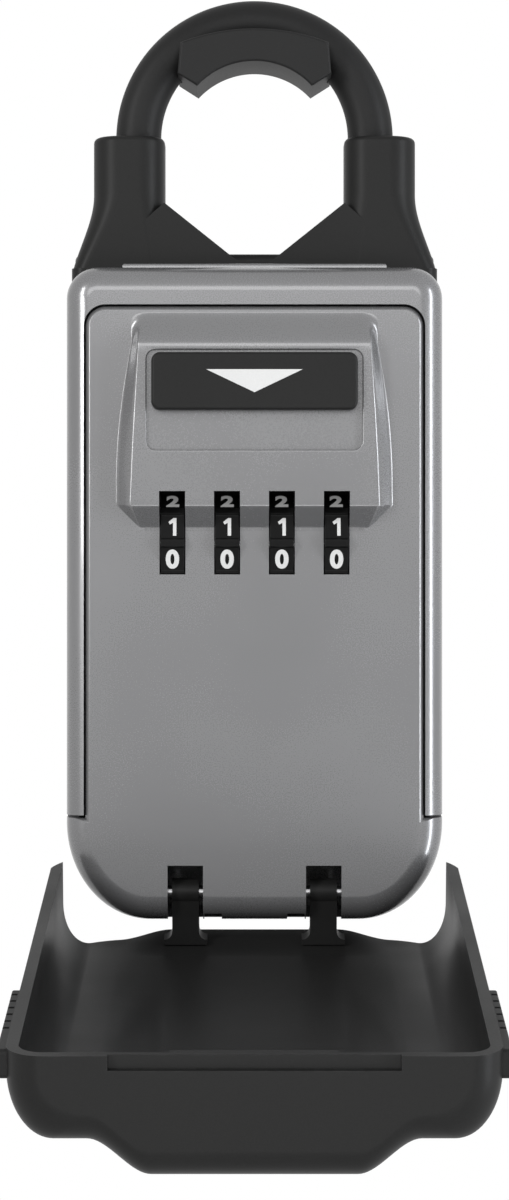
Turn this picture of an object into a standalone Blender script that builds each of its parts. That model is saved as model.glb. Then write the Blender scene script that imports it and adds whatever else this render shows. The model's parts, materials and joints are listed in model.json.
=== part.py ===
"""Combination key safe that hangs by its shackle: silver case and drop-down door, weather cover open.

Units are metres.  X runs to the right, -Y to the front and +Z up.  The origin is the hang point, under
the middle of the shackle's bumper pad.  Angles at rest: door shut, cover hanging open.
"""
import math

import bmesh
import bpy
from mathutils import Matrix, Vector

# Clearances
SEAT_GAP = 0.0003          # between pieces that rest on each other
RUN_GAP = 0.0002           # radial, round a pin that turns
SLIDE_GAP = 0.0004         # beside a piece that slides or swings
OVERRUN = 0.002            # a cutter reaches this far past what it cuts
OVERLAP = 0.0005           # how far joined shapes reach into each other
WELD_DISTANCE = 0.00001

# Case
CASE_HALF_WIDTH = 0.0415
CASE_TOP = -0.047
CASE_BOTTOM = -0.191
CASE_FRONT = -0.022
CASE_BACK = 0.022
CASE_WALL = 0.0025
CASE_TOP_RADIUS = 0.007
CORNER_WIDTH = 0.0185      # the two lower corners are quarter ellipses
CORNER_HEIGHT = 0.0215
FRONT_ROUNDING = 0.0055
BACK_ROUNDING = 0.003
FLANGE_DEPTH = 0.006       # depth of the frame round the door
FRAME_SIDE = 0.004
FRAME_TOP = 0.0086
FRAME_CORNER = 0.0048
FRAME_END = -0.1678        # the frame stops here and the door takes the full width
RIB_END_INSET = 0.0122     # rib on the case top that locates the base cap
RIB_HEIGHT = 0.0012
RIB_FRONT = -0.014
RIB_DEPTH = 0.003

# Hinge of door and cover
HINGE_Y = -0.017
HINGE_Z = -0.185
PIN_RADIUS = 0.00125
PIN_HALF_LENGTH = 0.0236
KNUCKLE_RADIUS = 0.003
SWING_RADIUS = 0.0075      # the case is cleared this far round the axis
LUG_INNER_X = 0.0076
LUG_WIDTH = 0.0031
LUG_FOOT_SETBACK = 0.0068  # behind the axis
LUG_FOOT_DEPTH = 0.0036
ARM_CENTRE_X = 0.0152
ARM_WIDTH = 0.0059
SLOT_WIDTH = 0.0078
SLOT_TOP_ABOVE_AXIS = 0.0062
EAR_WIDTH = 0.0032

# Door
DOOR_GAP = 0.0003
DOOR_WALL = 0.002
DOOR_EDGE_ROUNDING = 0.0018
SHOE_BACK = -0.013         # the full-width lower end of the door is deeper
SHOE_GAP = 0.0004
STEP_GAP = 0.0006
STOP_TONGUE_REACH = 0.0002
LUG_CLEARANCE = 0.0003     # the door bottom clears the case lugs by this when it hangs open

# Hood on the door
HOOD_HEIGHT = 0.0038
HOOD_TOP = -0.057
HOOD_PLATEAU_TOP = -0.065
HOOD_PLATEAU_BOTTOM = -0.0997
HOOD_BOTTOM = -0.1049
HOOD_SIDE_INSET = 0.0109    # from the case side to the hood where it is widest
HOOD_FLANK_WIDEST = 0.0037  # how far the flank spreads there from plateau to foot
HOOD_FLANK_TOP = 0.0003
HOOD_PLATEAU_TAPER = 0.0016 # the plateau is this much narrower at its top
HOOD_FOOT_BOTTOM_INSET = 0.0019
HOOD_FOOT_WIDEST_Z = -0.094
HOOD_WALL = 0.0024
HOOD_BURY = 0.0001         # the hood's foot starts this far inside the door's face
HOOD_HOLLOW_INSET = 0.0021
INDEX_GROOVE_DEPTH = 0.0004
INDEX_GROOVE_HEIGHT = 0.0009
INDEX_GROOVE_INSET = 0.001

# Opener
RECESS_SIDE_INSET = 0.0017
RECESS_TOP = -0.0658
RECESS_BOTTOM = -0.0877
RECESS_DEPTH = 0.0008
RECESS_CORNER = 0.002
OPENER_SIDE_GAP = 0.0011
OPENER_HEIGHT = 0.0126
OPENER_TOP = -0.0665
OPENER_THICKNESS = 0.0028
OPENER_CORNER = 0.0019
OPENER_CHAMFER = 0.0006
OPENER_TRAVEL = 0.008
STEM_INSET = 0.0097
STEM_WIDTH = 0.005
STEM_HEIGHT = 0.003
STEM_TOP = -0.0676
ARROW_HALF = 0.0105
ARROW_TOP = -0.0703
ARROW_HEIGHT = 0.005
ARROW_THICKNESS = 0.0006
ARROW_PROUD = 0.0001
CARRIER_SIDE_INSET = 0.004
CARRIER_HEIGHT = 0.016
CARRIER_THICKNESS = 0.0018

# Number wheels
WHEEL_AXIS_Y = -0.0115
WHEEL_AXIS_Z = -0.108
WHEEL_RADIUS = 0.01227     # to the corners of the ten-sided rim
WHEEL_SIDES = 10
WHEEL_WIDTH = 0.0053
WHEEL_PITCH = 0.012
WHEEL_COUNT = 4
WHEEL_RIM_CHAMFER = 0.0003
WINDOW_WIDTH = 0.0057
WINDOW_TOP = -0.0967
WINDOW_BOTTOM = -0.1147
AXLE_RADIUS = 0.0015
AXLE_END_PROUD = 0.0002    # beyond the brackets
HUB_RADIUS = 0.0075
HUB_WIDTH = 0.0046
GATE_WIDTH = 0.0024
GATE_DEPTH = 0.0022
BRACKET_GAP = 0.00065       # beside the last code hub
BRACKET_WIDTH = 0.0024
BRACKET_HALF_HEIGHT = 0.004

# Mechanism behind the door
PLATE_FRONT = 0.0013
PLATE_THICKNESS = 0.0018
PLATE_SIDE_INSET = 0.0032  # from the door side
PLATE_TOP = -0.063
PLATE_BOTTOM = -0.1268
PLATE_CORNER = 0.003
PLATE_BOSS_RADIUS = 0.003
PLATE_SCREW_INSET_X = 0.0042
PLATE_SCREW_INSET_Z = 0.0034
PLATE_RIB_X = 0.011
PLATE_RIB_WIDTH = 0.002
SCREW_SHANK_RADIUS = 0.00125
SCREW_HEAD_RADIUS = 0.0024
SCREW_HEAD_HEIGHT = 0.0013
SCREW_RECESS_RADIUS = 0.0012
SCREW_RECESS_DEPTH = 0.0008
PLATE_SCREW_LENGTH = 0.009
DETENT_THICKNESS = 0.0004
DETENT_GAP = 0.0005
DETENT_FINGER_WIDTH = 0.004
DETENT_BASE_HEIGHT = 0.003
DETENT_SIDE_REACH = 0.003  # beyond the last wheel centre
LEVER_INSET = 0.0125        # from the plate side
LEVER_Z = -0.0865
LEVER_THICKNESS = 0.0016
LEVER_LENGTH = 0.013
LEVER_HUB_RADIUS = 0.004
LEVER_TIP_RADIUS = 0.0025
LEVER_PEG_SHARE = 0.64     # of the tip's radius
PIVOT_RADIUS = 0.0015
PIVOT_HEAD_RADIUS = 0.003
PIVOT_HEAD_HEIGHT = 0.0012

# Latch
BOLT_HALF_WIDTH = 0.008
BOLT_SHOULDER_HALF = 0.0135
BOLT_TOP_GAP = 0.0008
BOLT_NOSE_HEIGHT = 0.006
BOLT_THICKNESS = 0.002
BOLT_BOTTOM = -0.092
BOLT_THROW = 0.003
BOLT_WINDOW_HALF = 0.0023
BOLT_WINDOW_TOP = -0.072
BOLT_WINDOW_BOTTOM = -0.0892
LATCH_SPRING_RADIUS = 0.0015
LATCH_SPRING_WIRE = 0.00025
LATCH_SPRING_TURNS = 6
LATCH_PEG_TOP = -0.084
LATCH_PEG_HEIGHT = 0.0015
LATCH_PEG_HALF = 0.0018
OPENER_SPRING_RADIUS = 0.0016
OPENER_SPRING_WIRE = 0.00025
OPENER_SPRING_TURNS = 6
OPENER_LEDGE_TOP = -0.0966
OPENER_LEDGE_HEIGHT = 0.0014
OPENER_LEDGE_HALF = 0.0023

# Shackle
LEG_INSET = 0.0153          # leg axis to the case side
SHACKLE_RADIUS = 0.0051
ARCH_CROWN_Z = 0.0099      # axis of the shackle at its crown
LEG_BOTTOM = -0.0555
NECK_RADIUS = 0.0035
NECK_TOP = -0.0503
NECK_HEIGHT = 0.003
LEG_TIP_CHAMFER = 0.001
LEG_HOLE_RADIUS = 0.0055
BUMPER_HALF_DEPTH = 0.0095
BUMPER_CHAMFER = 0.0012
BUMPER_SHOULDER_INSET = 0.0096  # from the leg axis
BUMPER_SHOULDER_Z = 0.0042
BUMPER_CROWN_Z = 0.0073
BUMPER_SIDE_INSET = 0.009
BUMPER_SIDE_Z = -0.0028
BUMPER_TIP_INSET = 0.0134
BUMPER_TIP_Z = -0.0056
SHACKLE_TRAVEL = 0.045

# Base cap under the shackle
VALLEY_HALF_WIDTH = 0.004
VALLEY_Z = -0.0445
FLANK_TOP_Z = -0.0316
FERRULE_INNER_REACH = 0.006 # from the leg axis
FERRULE_OUTER_REACH = 0.01
FERRULE_TOP = -0.0165
FERRULE_HALF_DEPTH = 0.00875
FERRULE_CORNER = 0.0062
FERRULE_TOP_ROUNDING = 0.0012
CAP_SIDE_INSET = 0.0005    # from the case side
CAP_BACK = 0.0185
CAP_FOOT_HEIGHT = 0.0042
CAP_WRAP = 0.004
CAP_FLARE_START_Z = -0.0294
CAP_CORNER = 0.003
CAP_FLARE_SHARE = 0.8      # how much of the ease curve the outer flare runs through
CAP_SCREW_INSET = 0.0022   # from the leg axis towards the middle
CAP_SCREW_Y = 0.0125
CAP_SCREW_LENGTH = 0.006

# Lock plate that holds the shackle's legs
LOCK_TOP = -0.051
LOCK_THICKNESS = 0.0016
LOCK_HALF_DEPTH = 0.0075
LOCK_LEFT_REACH = 0.0091   # from the leg axis
LOCK_RIGHT_REACH = 0.0063
LOCK_THROW = 0.0037
LOCK_END_PLAY = 0.0005      # the slots run this much past the throw
LOCK_SLOT_HALF = 0.0039
LOCK_TAB_HALF_DEPTH = 0.005
LOCK_TAB_HEIGHT = 0.006
LOCK_TAB_THICKNESS = 0.0016
GUIDE_SCREW_INSET = 0.0152 # from the leg axis towards the middle
GUIDE_SCREW_DEPTH = 0.0018
GUIDE_SLOT_HALF = 0.0017

# Weather cover, in its shut position: u rises from the hinge axis, w runs forward from it
COVER_OPEN_DEG = 99.5
COVER_RIM_W = -0.0075
COVER_WALL = 0.0023
COVER_SIDE_REACH = 0.0029  # beyond the case side
COVER_FAR_U = 0.1416
COVER_HINGE_END_U = -0.006
COVER_SHOULDER_W = 0.0094
COVER_BULGE_W = 0.0164
COVER_FLAT_W = 0.0148
COVER_CURL_W = 0.0125
COVER_CURL_LENGTH = 0.014
COVER_SHOULDER_INSET = 0.0082
COVER_BULGE_FOOT_INSET = 0.0062
COVER_BULGE_SLOPE = 0.0115
COVER_CORNER_DROP = 0.013
COVER_END_RADIUS = 0.0068
COVER_END_TURN_SHARE = 0.85   # how far round its quarter circle the far end turns before it goes flat
COVER_CORNER_CENTRE_INSET = 0.0155
COVER_CORNER_REACH = 0.0184
LIP_HALF_WIDTH = 0.015
LIP_DEPTH = 0.0012
LIP_HEIGHT = 0.0012
NOTCH_HALF_WIDTH = 0.026
NOTCH_DEPTH = 0.001
NOTCH_HEIGHT = 0.0027
ARM_THICKNESS = 0.0052
ARM_FILLET = 0.0018
GRIP_START_U = 0.0985
GRIP_END_U = 0.1365
GRIP_FRONT_W = -0.0015
GRIP_BACK_W = -0.007
GRIP_PROUD = 0.0016
GRIP_RIB_COUNT = 6
GRIP_RIB_PITCH = 0.0042
GRIP_RIB_GAP = 0.0011
GRIP_SEAT = 0.0008
GRIP_CORNER = 0.001

# Facets
CORNER_STEPS = 8
ROUNDING_STEPS = 3
HOLE_SIDES = 24
SWING_SIDES = 36
SMALL_SIDES = 16
SCREW_SIDES = 12
WIRE_STEPS = 8
SHACKLE_RESOLUTION = 4

# Widths that follow from the case's width
DOOR_HALF = CASE_HALF_WIDTH - FRAME_SIDE - DOOR_GAP
RIB_HALF_WIDTH = CASE_HALF_WIDTH - RIB_END_INSET
HOOD_FOOT_HALF_WIDEST = CASE_HALF_WIDTH - HOOD_SIDE_INSET
HOOD_PLATEAU_HALF_BOTTOM = HOOD_FOOT_HALF_WIDEST - HOOD_FLANK_WIDEST
HOOD_PLATEAU_HALF_TOP = HOOD_PLATEAU_HALF_BOTTOM - HOOD_PLATEAU_TAPER
HOOD_FOOT_HALF_TOP = HOOD_PLATEAU_HALF_TOP + HOOD_FLANK_TOP
HOOD_FOOT_HALF_BOTTOM = HOOD_PLATEAU_HALF_BOTTOM - HOOD_FOOT_BOTTOM_INSET
HOOD_HOLLOW_HALF = HOOD_PLATEAU_HALF_TOP - HOOD_HOLLOW_INSET
INDEX_GROOVE_HALF = HOOD_FOOT_HALF_BOTTOM - INDEX_GROOVE_INSET
RECESS_HALF = HOOD_PLATEAU_HALF_TOP - RECESS_SIDE_INSET
OPENER_HALF = RECESS_HALF - OPENER_SIDE_GAP
STEM_CENTRE_X = OPENER_HALF - STEM_INSET
CARRIER_HALF = OPENER_HALF - CARRIER_SIDE_INSET
PLATE_HALF_WIDTH = DOOR_HALF - PLATE_SIDE_INSET
LEVER_X = PLATE_HALF_WIDTH - LEVER_INSET
LEG_X = CASE_HALF_WIDTH - LEG_INSET
GUIDE_SCREW_X = LEG_X - GUIDE_SCREW_INSET
ARCH_CENTRE_Z = ARCH_CROWN_Z - LEG_X
BUMPER_SHOULDER_X = LEG_X - BUMPER_SHOULDER_INSET
BUMPER_SIDE_X = LEG_X - BUMPER_SIDE_INSET
BUMPER_TIP_X = LEG_X - BUMPER_TIP_INSET
FERRULE_INNER_X = LEG_X - FERRULE_INNER_REACH
FERRULE_OUTER_X = LEG_X + FERRULE_OUTER_REACH
CAP_OUTER_X = CASE_HALF_WIDTH - CAP_SIDE_INSET
CAP_SCREW_X = LEG_X - CAP_SCREW_INSET
LOCK_LEFT = -LEG_X - LOCK_LEFT_REACH
LOCK_RIGHT = LEG_X + LOCK_RIGHT_REACH
COVER_OUTER_X = CASE_HALF_WIDTH + COVER_SIDE_REACH
COVER_SHOULDER_HALF = COVER_OUTER_X - COVER_SHOULDER_INSET
COVER_BULGE_FOOT = COVER_SHOULDER_HALF - COVER_BULGE_FOOT_INSET
COVER_BULGE_HALF = COVER_BULGE_FOOT - COVER_BULGE_SLOPE
COVER_CORNER_CENTRE_X = CASE_HALF_WIDTH - COVER_CORNER_CENTRE_INSET

# Widths that follow from the row of wheels
LAST_WHEEL_X = WHEEL_PITCH * (WHEEL_COUNT - 1) / 2
DETENT_HALF_WIDTH = LAST_WHEEL_X + DETENT_SIDE_REACH
BRACKET_INNER_X = LAST_WHEEL_X + WHEEL_WIDTH / 2 + SEAT_GAP + HUB_WIDTH + BRACKET_GAP
AXLE_HALF_LENGTH = BRACKET_INNER_X + BRACKET_WIDTH + AXLE_END_PROUD

FACING = Matrix.Rotation(math.radians(90), 4, "X")
ALONG_X = Matrix(((0, 0, 1, 0), (1, 0, 0, 0), (0, 1, 0, 0), (0, 0, 0, 1)))
UPRIGHT = Matrix.Identity(4)


# Scene and materials

def clear_scene():
    """Empty the scene of objects."""
    for obj in list(bpy.data.objects):
        bpy.data.objects.remove(obj, do_unlink=True)


clear_scene()
SAFE = bpy.data.collections.new("combination_key_safe")
bpy.context.scene.collection.children.link(SAFE)


def finish(obj, name, colour, roughness, metallic):
    """Name a piece, give it its own material and shade its round faces smooth."""
    obj.name = name
    obj.data.name = name
    surface = bpy.data.materials.new(name)
    surface.use_nodes = True
    shader = surface.node_tree.nodes["Principled BSDF"]
    shader.inputs["Base Color"].default_value = (*colour, 1)
    shader.inputs["Roughness"].default_value = roughness
    shader.inputs["Metallic"].default_value = metallic
    obj.data.materials.clear()
    obj.data.materials.append(surface)
    obj.data.shade_smooth()
    obj.data.set_sharp_from_angle(angle=math.radians(35))
    return obj


SILVER = ((0.24, 0.24, 0.245), 0.38, 0.6)
ZINC = ((0.30, 0.30, 0.31), 0.5, 0.8)
STEEL = ((0.55, 0.55, 0.56), 0.3, 1.0)
BLACK_PLASTIC = ((0.022, 0.022, 0.022), 0.5, 0.0)
BLACK_RUBBER = ((0.018, 0.018, 0.018), 0.65, 0.0)
WHEEL_PLASTIC = ((0.012, 0.012, 0.012), 0.3, 0.0)
WHITE = ((0.68, 0.68, 0.68), 0.4, 0.0)


# Mesh tools

def add_mesh(mesh, name="shape"):
    """Put a mesh in the safe's collection."""
    obj = bpy.data.objects.new(name, mesh)
    SAFE.objects.link(obj)
    return obj


def evaluated_copy(obj):
    """A plain mesh object with every modifier or curve of obj made real; obj is removed."""
    bpy.context.view_layer.update()
    graph = bpy.context.evaluated_depsgraph_get()
    source = obj.evaluated_get(graph)
    mesh = bpy.data.meshes.new_from_object(source, depsgraph=graph)
    copy = add_mesh(mesh, obj.name)
    copy.matrix_world = obj.matrix_world.copy()
    data = obj.data
    was_mesh = obj.type == "MESH"
    bpy.data.objects.remove(obj, do_unlink=True)
    if was_mesh and data.users == 0:
        bpy.data.meshes.remove(data)
    return copy


def weld(obj):
    """Close the loose caps of a converted curve and merge its flat faces."""
    shape = bmesh.new()
    shape.from_mesh(obj.data)
    bmesh.ops.remove_doubles(shape, verts=shape.verts, dist=WELD_DISTANCE)
    bmesh.ops.dissolve_limit(
        shape, angle_limit=math.radians(0.5), verts=shape.verts, edges=shape.edges
    )
    bmesh.ops.recalc_face_normals(shape, faces=shape.faces)
    shape.to_mesh(obj.data)
    shape.free()
    return obj



def place(obj, matrix):
    """Bake a placement into the mesh, so that its coordinates are the world's."""
    obj.data.transform(matrix)
    obj.matrix_world = Matrix.Identity(4)
    return obj


def prism(outline, start, end, frame):
    """A flat outline pushed from start to end along the third direction of frame."""
    curve = bpy.data.curves.new("outline", "CURVE")
    curve.dimensions = "2D"
    curve.fill_mode = "BOTH"
    curve.extrude = abs(end - start) / 2
    spline = curve.splines.new("POLY")
    spline.points.add(len(outline) - 1)
    for point, (x, y) in zip(spline.points, outline):
        point.co = (x, y, 0, 1)
    spline.use_cyclic_u = True
    obj = bpy.data.objects.new("prism", curve)
    SAFE.objects.link(obj)
    solid = weld(evaluated_copy(obj))
    return place(solid, frame @ Matrix.Translation((0, 0, (start + end) / 2)))


def prism_y(outline, front, back):
    """An outline in (x, z) from front to back."""
    return prism(outline, -back, -front, FACING)


def prism_x(outline, left, right):
    """An outline in (y, z) from left to right."""
    return prism(outline, left, right, ALONG_X)


def prism_z(outline, low, high):
    """An outline in (x, y) from low to high."""
    return prism(outline, low, high, UPRIGHT)


def box(low, high):
    """A block between two opposite corners."""
    shape = bmesh.new()
    bmesh.ops.create_cube(shape, size=1)
    mesh = bpy.data.meshes.new("box")
    shape.to_mesh(mesh)
    shape.free()
    size = [abs(b - a) for a, b in zip(low, high)]
    middle = (Vector(high) + Vector(low)) / 2
    mesh.transform(Matrix.Translation(middle) @ Matrix.Diagonal((*size, 1)))
    return add_mesh(mesh)


def rod(start, end, radius, sides=HOLE_SIDES, end_radius=None, turn=0):
    """A round bar, or a cone, from start to end."""
    line = Vector(end) - Vector(start)
    shape = bmesh.new()
    bmesh.ops.create_cone(
        shape,
        cap_ends=True,
        segments=sides,
        radius1=radius,
        radius2=radius if end_radius is None else end_radius,
        depth=line.length,
    )
    mesh = bpy.data.meshes.new("rod")
    shape.to_mesh(mesh)
    shape.free()
    aim = Vector((0, 0, 1)).rotation_difference(line).to_matrix().to_4x4()
    middle = (Vector(start) + Vector(end)) / 2
    mesh.transform(Matrix.Translation(middle) @ aim @ Matrix.Rotation(turn, 4, "Z"))
    return add_mesh(mesh)


def combine(target, tools, operation):
    """Apply one Boolean for each tool, in order, and remove the tools."""
    for tool in tools if isinstance(tools, (list, tuple)) else [tools]:
        step = target.modifiers.new("step", "BOOLEAN")
        step.operation = operation
        step.solver = "EXACT"
        step.object = tool
        target = evaluated_copy(target)
        mesh = tool.data
        bpy.data.objects.remove(tool, do_unlink=True)
        bpy.data.meshes.remove(mesh)
    return target


def cut(target, tools):
    return combine(target, tools, "DIFFERENCE")


def join(target, tools):
    return combine(target, tools, "UNION")


def keep(target, tools):
    return combine(target, tools, "INTERSECT")


def round_edges(obj, radius, steps, chosen):
    """Round the edges for which chosen(middle, edge) is true."""
    shape = bmesh.new()
    shape.from_mesh(obj.data)
    edges = [e for e in shape.edges if chosen((e.verts[0].co + e.verts[1].co) / 2, e)]
    bmesh.ops.bevel(
        shape,
        geom=edges,
        offset=radius,
        offset_type="OFFSET",
        segments=steps,
        profile=0.5,
        affect="EDGES",
        clamp_overlap=True,
    )
    shape.to_mesh(obj.data)
    shape.free()
    return obj


def on_plane(axis, value):
    """Chooses the edges that lie in one plane."""
    def chosen(_middle, edge):
        return all(abs(v.co[axis] - value) < WELD_DISTANCE for v in edge.verts)
    return chosen


def arc(centre_x, centre_z, radius_x, radius_z, start_deg, end_deg, steps):
    """Points along part of an ellipse, both ends included."""
    points = []
    for i in range(steps + 1):
        angle = math.radians(start_deg + (end_deg - start_deg) * i / steps)
        points.append((centre_x + radius_x * math.cos(angle), centre_z + radius_z * math.sin(angle)))
    return points


def rounded_rectangle(left, right, bottom, top, radius, steps=CORNER_STEPS):
    """A rectangle whose four corners have one radius."""
    return (
        arc(right - radius, bottom + radius, radius, radius, -90, 0, steps)
        + arc(right - radius, top - radius, radius, radius, 0, 90, steps)
        + arc(left + radius, top - radius, radius, radius, 90, 180, steps)
        + arc(left + radius, bottom + radius, radius, radius, 180, 270, steps)
    )


def case_outline(inset, top=CASE_TOP, top_radius=CASE_TOP_RADIUS, half_width=CASE_HALF_WIDTH):
    """The case seen from the front, drawn in by inset: round top corners, elliptical lower ones."""
    half = half_width - inset
    bottom = CASE_BOTTOM + inset
    wide = CORNER_WIDTH - inset
    tall = CORNER_HEIGHT - inset
    radius = top_radius - inset
    high = top - inset
    return (
        arc(half - wide, bottom + tall, wide, tall, -90, 0, CORNER_STEPS)
        + arc(half - radius, high - radius, radius, radius, 0, 90, CORNER_STEPS)
        + arc(radius - half, high - radius, radius, radius, 90, 180, CORNER_STEPS)
        + arc(wide - half, bottom + tall, wide, tall, 180, 270, CORNER_STEPS)
    )


def loft(rings):
    """A closed solid through rings of equally many points, with flat ends."""
    shape = bmesh.new()
    rows = [[shape.verts.new(point) for point in ring] for ring in rings]
    count = len(rings[0])
    for near, far in zip(rows, rows[1:]):
        for i in range(count):
            j = (i + 1) % count
            shape.faces.new((near[i], near[j], far[j], far[i]))
    shape.faces.new(rows[0])
    shape.faces.new(rows[-1])
    bmesh.ops.recalc_face_normals(shape, faces=shape.faces)
    mesh = bpy.data.meshes.new("loft")
    shape.to_mesh(mesh)
    shape.free()
    return add_mesh(mesh)


def coil(radius, wire, turns, x, y, bottom, top):
    """A compression spring along Z, one closed turn at each end."""
    curve = bpy.data.curves.new("coil", "CURVE")
    curve.dimensions = "3D"
    curve.bevel_depth = wire
    curve.bevel_resolution = 0
    curve.use_fill_caps = True
    spline = curve.splines.new("POLY")
    count = turns * WIRE_STEPS
    spline.points.add(count)
    low = bottom + wire
    high = top - wire
    for i, point in enumerate(spline.points):
        angle = 2 * math.pi * i / WIRE_STEPS
        height = low + (high - low) * i / count
        point.co = (x + radius * math.cos(angle), y + radius * math.sin(angle), height, 1)
    obj = bpy.data.objects.new("coil", curve)
    SAFE.objects.link(obj)
    solid = evaluated_copy(obj)
    shape = bmesh.new()
    shape.from_mesh(solid.data)
    bmesh.ops.remove_doubles(shape, verts=shape.verts, dist=WELD_DISTANCE)
    bmesh.ops.recalc_face_normals(shape, faces=shape.faces)
    shape.to_mesh(solid.data)
    shape.free()
    return solid


def screw(base, direction, length, sides=SCREW_SIDES):
    """A screw whose head lies against base and whose shank runs along direction."""
    along = Vector(direction)
    seat = Vector(base)
    shank = rod(seat - along * OVERLAP, seat + along * length, SCREW_SHANK_RADIUS, sides)
    head = rod(seat - along * SCREW_HEAD_HEIGHT, seat, SCREW_HEAD_RADIUS, sides)
    head = round_edges(
        head, SCREW_HEAD_HEIGHT / 3, 2,
        lambda middle, edge: abs((middle - seat).dot(along) + SCREW_HEAD_HEIGHT) < WELD_DISTANCE,
    )
    top = seat - along * (SCREW_HEAD_HEIGHT + OVERRUN)
    socket = rod(top, seat - along * (SCREW_HEAD_HEIGHT - SCREW_RECESS_DEPTH), SCREW_RECESS_RADIUS, 6)
    return cut(join(head, shank), socket)



# Case

CAVITY_FRONT = CASE_FRONT + FLANGE_DEPTH
CAVITY_BACK = CASE_BACK - CASE_WALL
CAVITY_TOP = CASE_TOP - CASE_WALL
CAVITY_FLOOR = CASE_BOTTOM + CASE_WALL
OPENING_HALF = CASE_HALF_WIDTH - FRAME_SIDE
OPENING_TOP = CASE_TOP - FRAME_TOP
SHOE_SEAT = SHOE_BACK + SHOE_GAP


def hinge_rod(radius, left, right, sides=HOLE_SIDES):
    """A round bar on the hinge axis."""
    return rod((left, HINGE_Y, HINGE_Z), (right, HINGE_Y, HINGE_Z), radius, sides)


def lug_outline():
    """Goose neck from the case floor to the hinge axis, in (y, z)."""
    foot_front = HINGE_Y + LUG_FOOT_SETBACK
    foot_back = foot_front + LUG_FOOT_DEPTH
    floor = CAVITY_FLOOR - OVERLAP
    nose = arc(HINGE_Y, HINGE_Z, KNUCKLE_RADIUS, KNUCKLE_RADIUS, 90, 270, CORNER_STEPS)
    shoulder = HINGE_Z + KNUCKLE_RADIUS
    return nose + [
        (foot_front, HINGE_Z - KNUCKLE_RADIUS),
        (foot_front, floor),
        (foot_back, floor),
        (foot_back, shoulder - KNUCKLE_RADIUS / 2),
        (foot_back - KNUCKLE_RADIUS / 2, shoulder),
    ]


def build_case():
    body = prism_y(case_outline(0), CASE_FRONT, CASE_BACK)
    round_edges(body, FRONT_ROUNDING, ROUNDING_STEPS + 1, on_plane(1, CASE_FRONT))
    round_edges(body, BACK_ROUNDING, ROUNDING_STEPS, on_plane(1, CASE_BACK))
    rib = box(
        (-RIB_HALF_WIDTH, RIB_FRONT, CASE_TOP - OVERLAP),
        (RIB_HALF_WIDTH, RIB_FRONT + RIB_DEPTH, CASE_TOP + RIB_HEIGHT),
    )
    round_edges(rib, RIB_HEIGHT / 2, 2, lambda middle, _edge: middle.z > CASE_TOP + RIB_HEIGHT - WELD_DISTANCE)
    body = join(body, rib)
    cavity = prism_y(case_outline(CASE_WALL), CAVITY_FRONT, CAVITY_BACK)
    doorway = prism_y(
        rounded_rectangle(
            -OPENING_HALF, OPENING_HALF, FRAME_END - OVERRUN - FRAME_CORNER, OPENING_TOP, FRAME_CORNER
        ),
        CASE_FRONT - OVERRUN,
        CAVITY_FRONT + OVERLAP,
    )
    reach = CASE_HALF_WIDTH + OVERRUN
    shoe_space = box(
        (-reach, CASE_FRONT - OVERRUN, CASE_BOTTOM - OVERRUN),
        (reach, SHOE_SEAT, FRAME_END),
    )
    swing_space = hinge_rod(SWING_RADIUS, -reach, reach, SWING_SIDES)
    body = cut(body, [cavity, doorway, shoe_space, swing_space])
    lugs = []
    for side in (-1, 1):
        inner = side * LUG_INNER_X
        outer = side * (LUG_INNER_X + LUG_WIDTH)
        lugs.append(prism_x(lug_outline(), min(inner, outer), max(inner, outer)))
        tongue_front = SHOE_SEAT - STOP_TONGUE_REACH
        lugs.append(box(
            (side * ARM_CENTRE_X - ARM_WIDTH / 2, tongue_front, CASE_BOTTOM + SEAT_GAP),
            (side * ARM_CENTRE_X + ARM_WIDTH / 2, SHOE_SEAT + CASE_WALL, CAVITY_FLOOR - SEAT_GAP),
        ))
    body = join(body, lugs)
    holes = [hinge_rod(PIN_RADIUS + RUN_GAP, -PIN_HALF_LENGTH, PIN_HALF_LENGTH)]
    for side in (-1, 1):
        x = side * LEG_X
        holes.append(rod((x, 0, CAVITY_TOP - OVERRUN), (x, 0, CASE_TOP + OVERRUN), LEG_HOLE_RADIUS))
        x = side * CAP_SCREW_X
        holes.append(rod(
            (x, CAP_SCREW_Y, CAVITY_TOP - OVERRUN), (x, CAP_SCREW_Y, CASE_TOP + OVERRUN),
            SCREW_SHANK_RADIUS + SEAT_GAP, SMALL_SIDES,
        ))
        x = side * GUIDE_SCREW_X
        holes.append(rod(
            (x, 0, CAVITY_TOP - OVERRUN), (x, 0, CAVITY_TOP + GUIDE_SCREW_DEPTH),
            SCREW_SHANK_RADIUS + SEAT_GAP, SMALL_SIDES,
        ))
    return finish(cut(body, holes), "case_shell", *SILVER)


def build_hinge_pin():
    pin = hinge_rod(PIN_RADIUS, -PIN_HALF_LENGTH + SEAT_GAP, PIN_HALF_LENGTH - SEAT_GAP)
    return finish(pin, "hinge_pin", *STEEL)


case_shell = build_case()
hinge_pin = build_hinge_pin()


# Door

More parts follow.
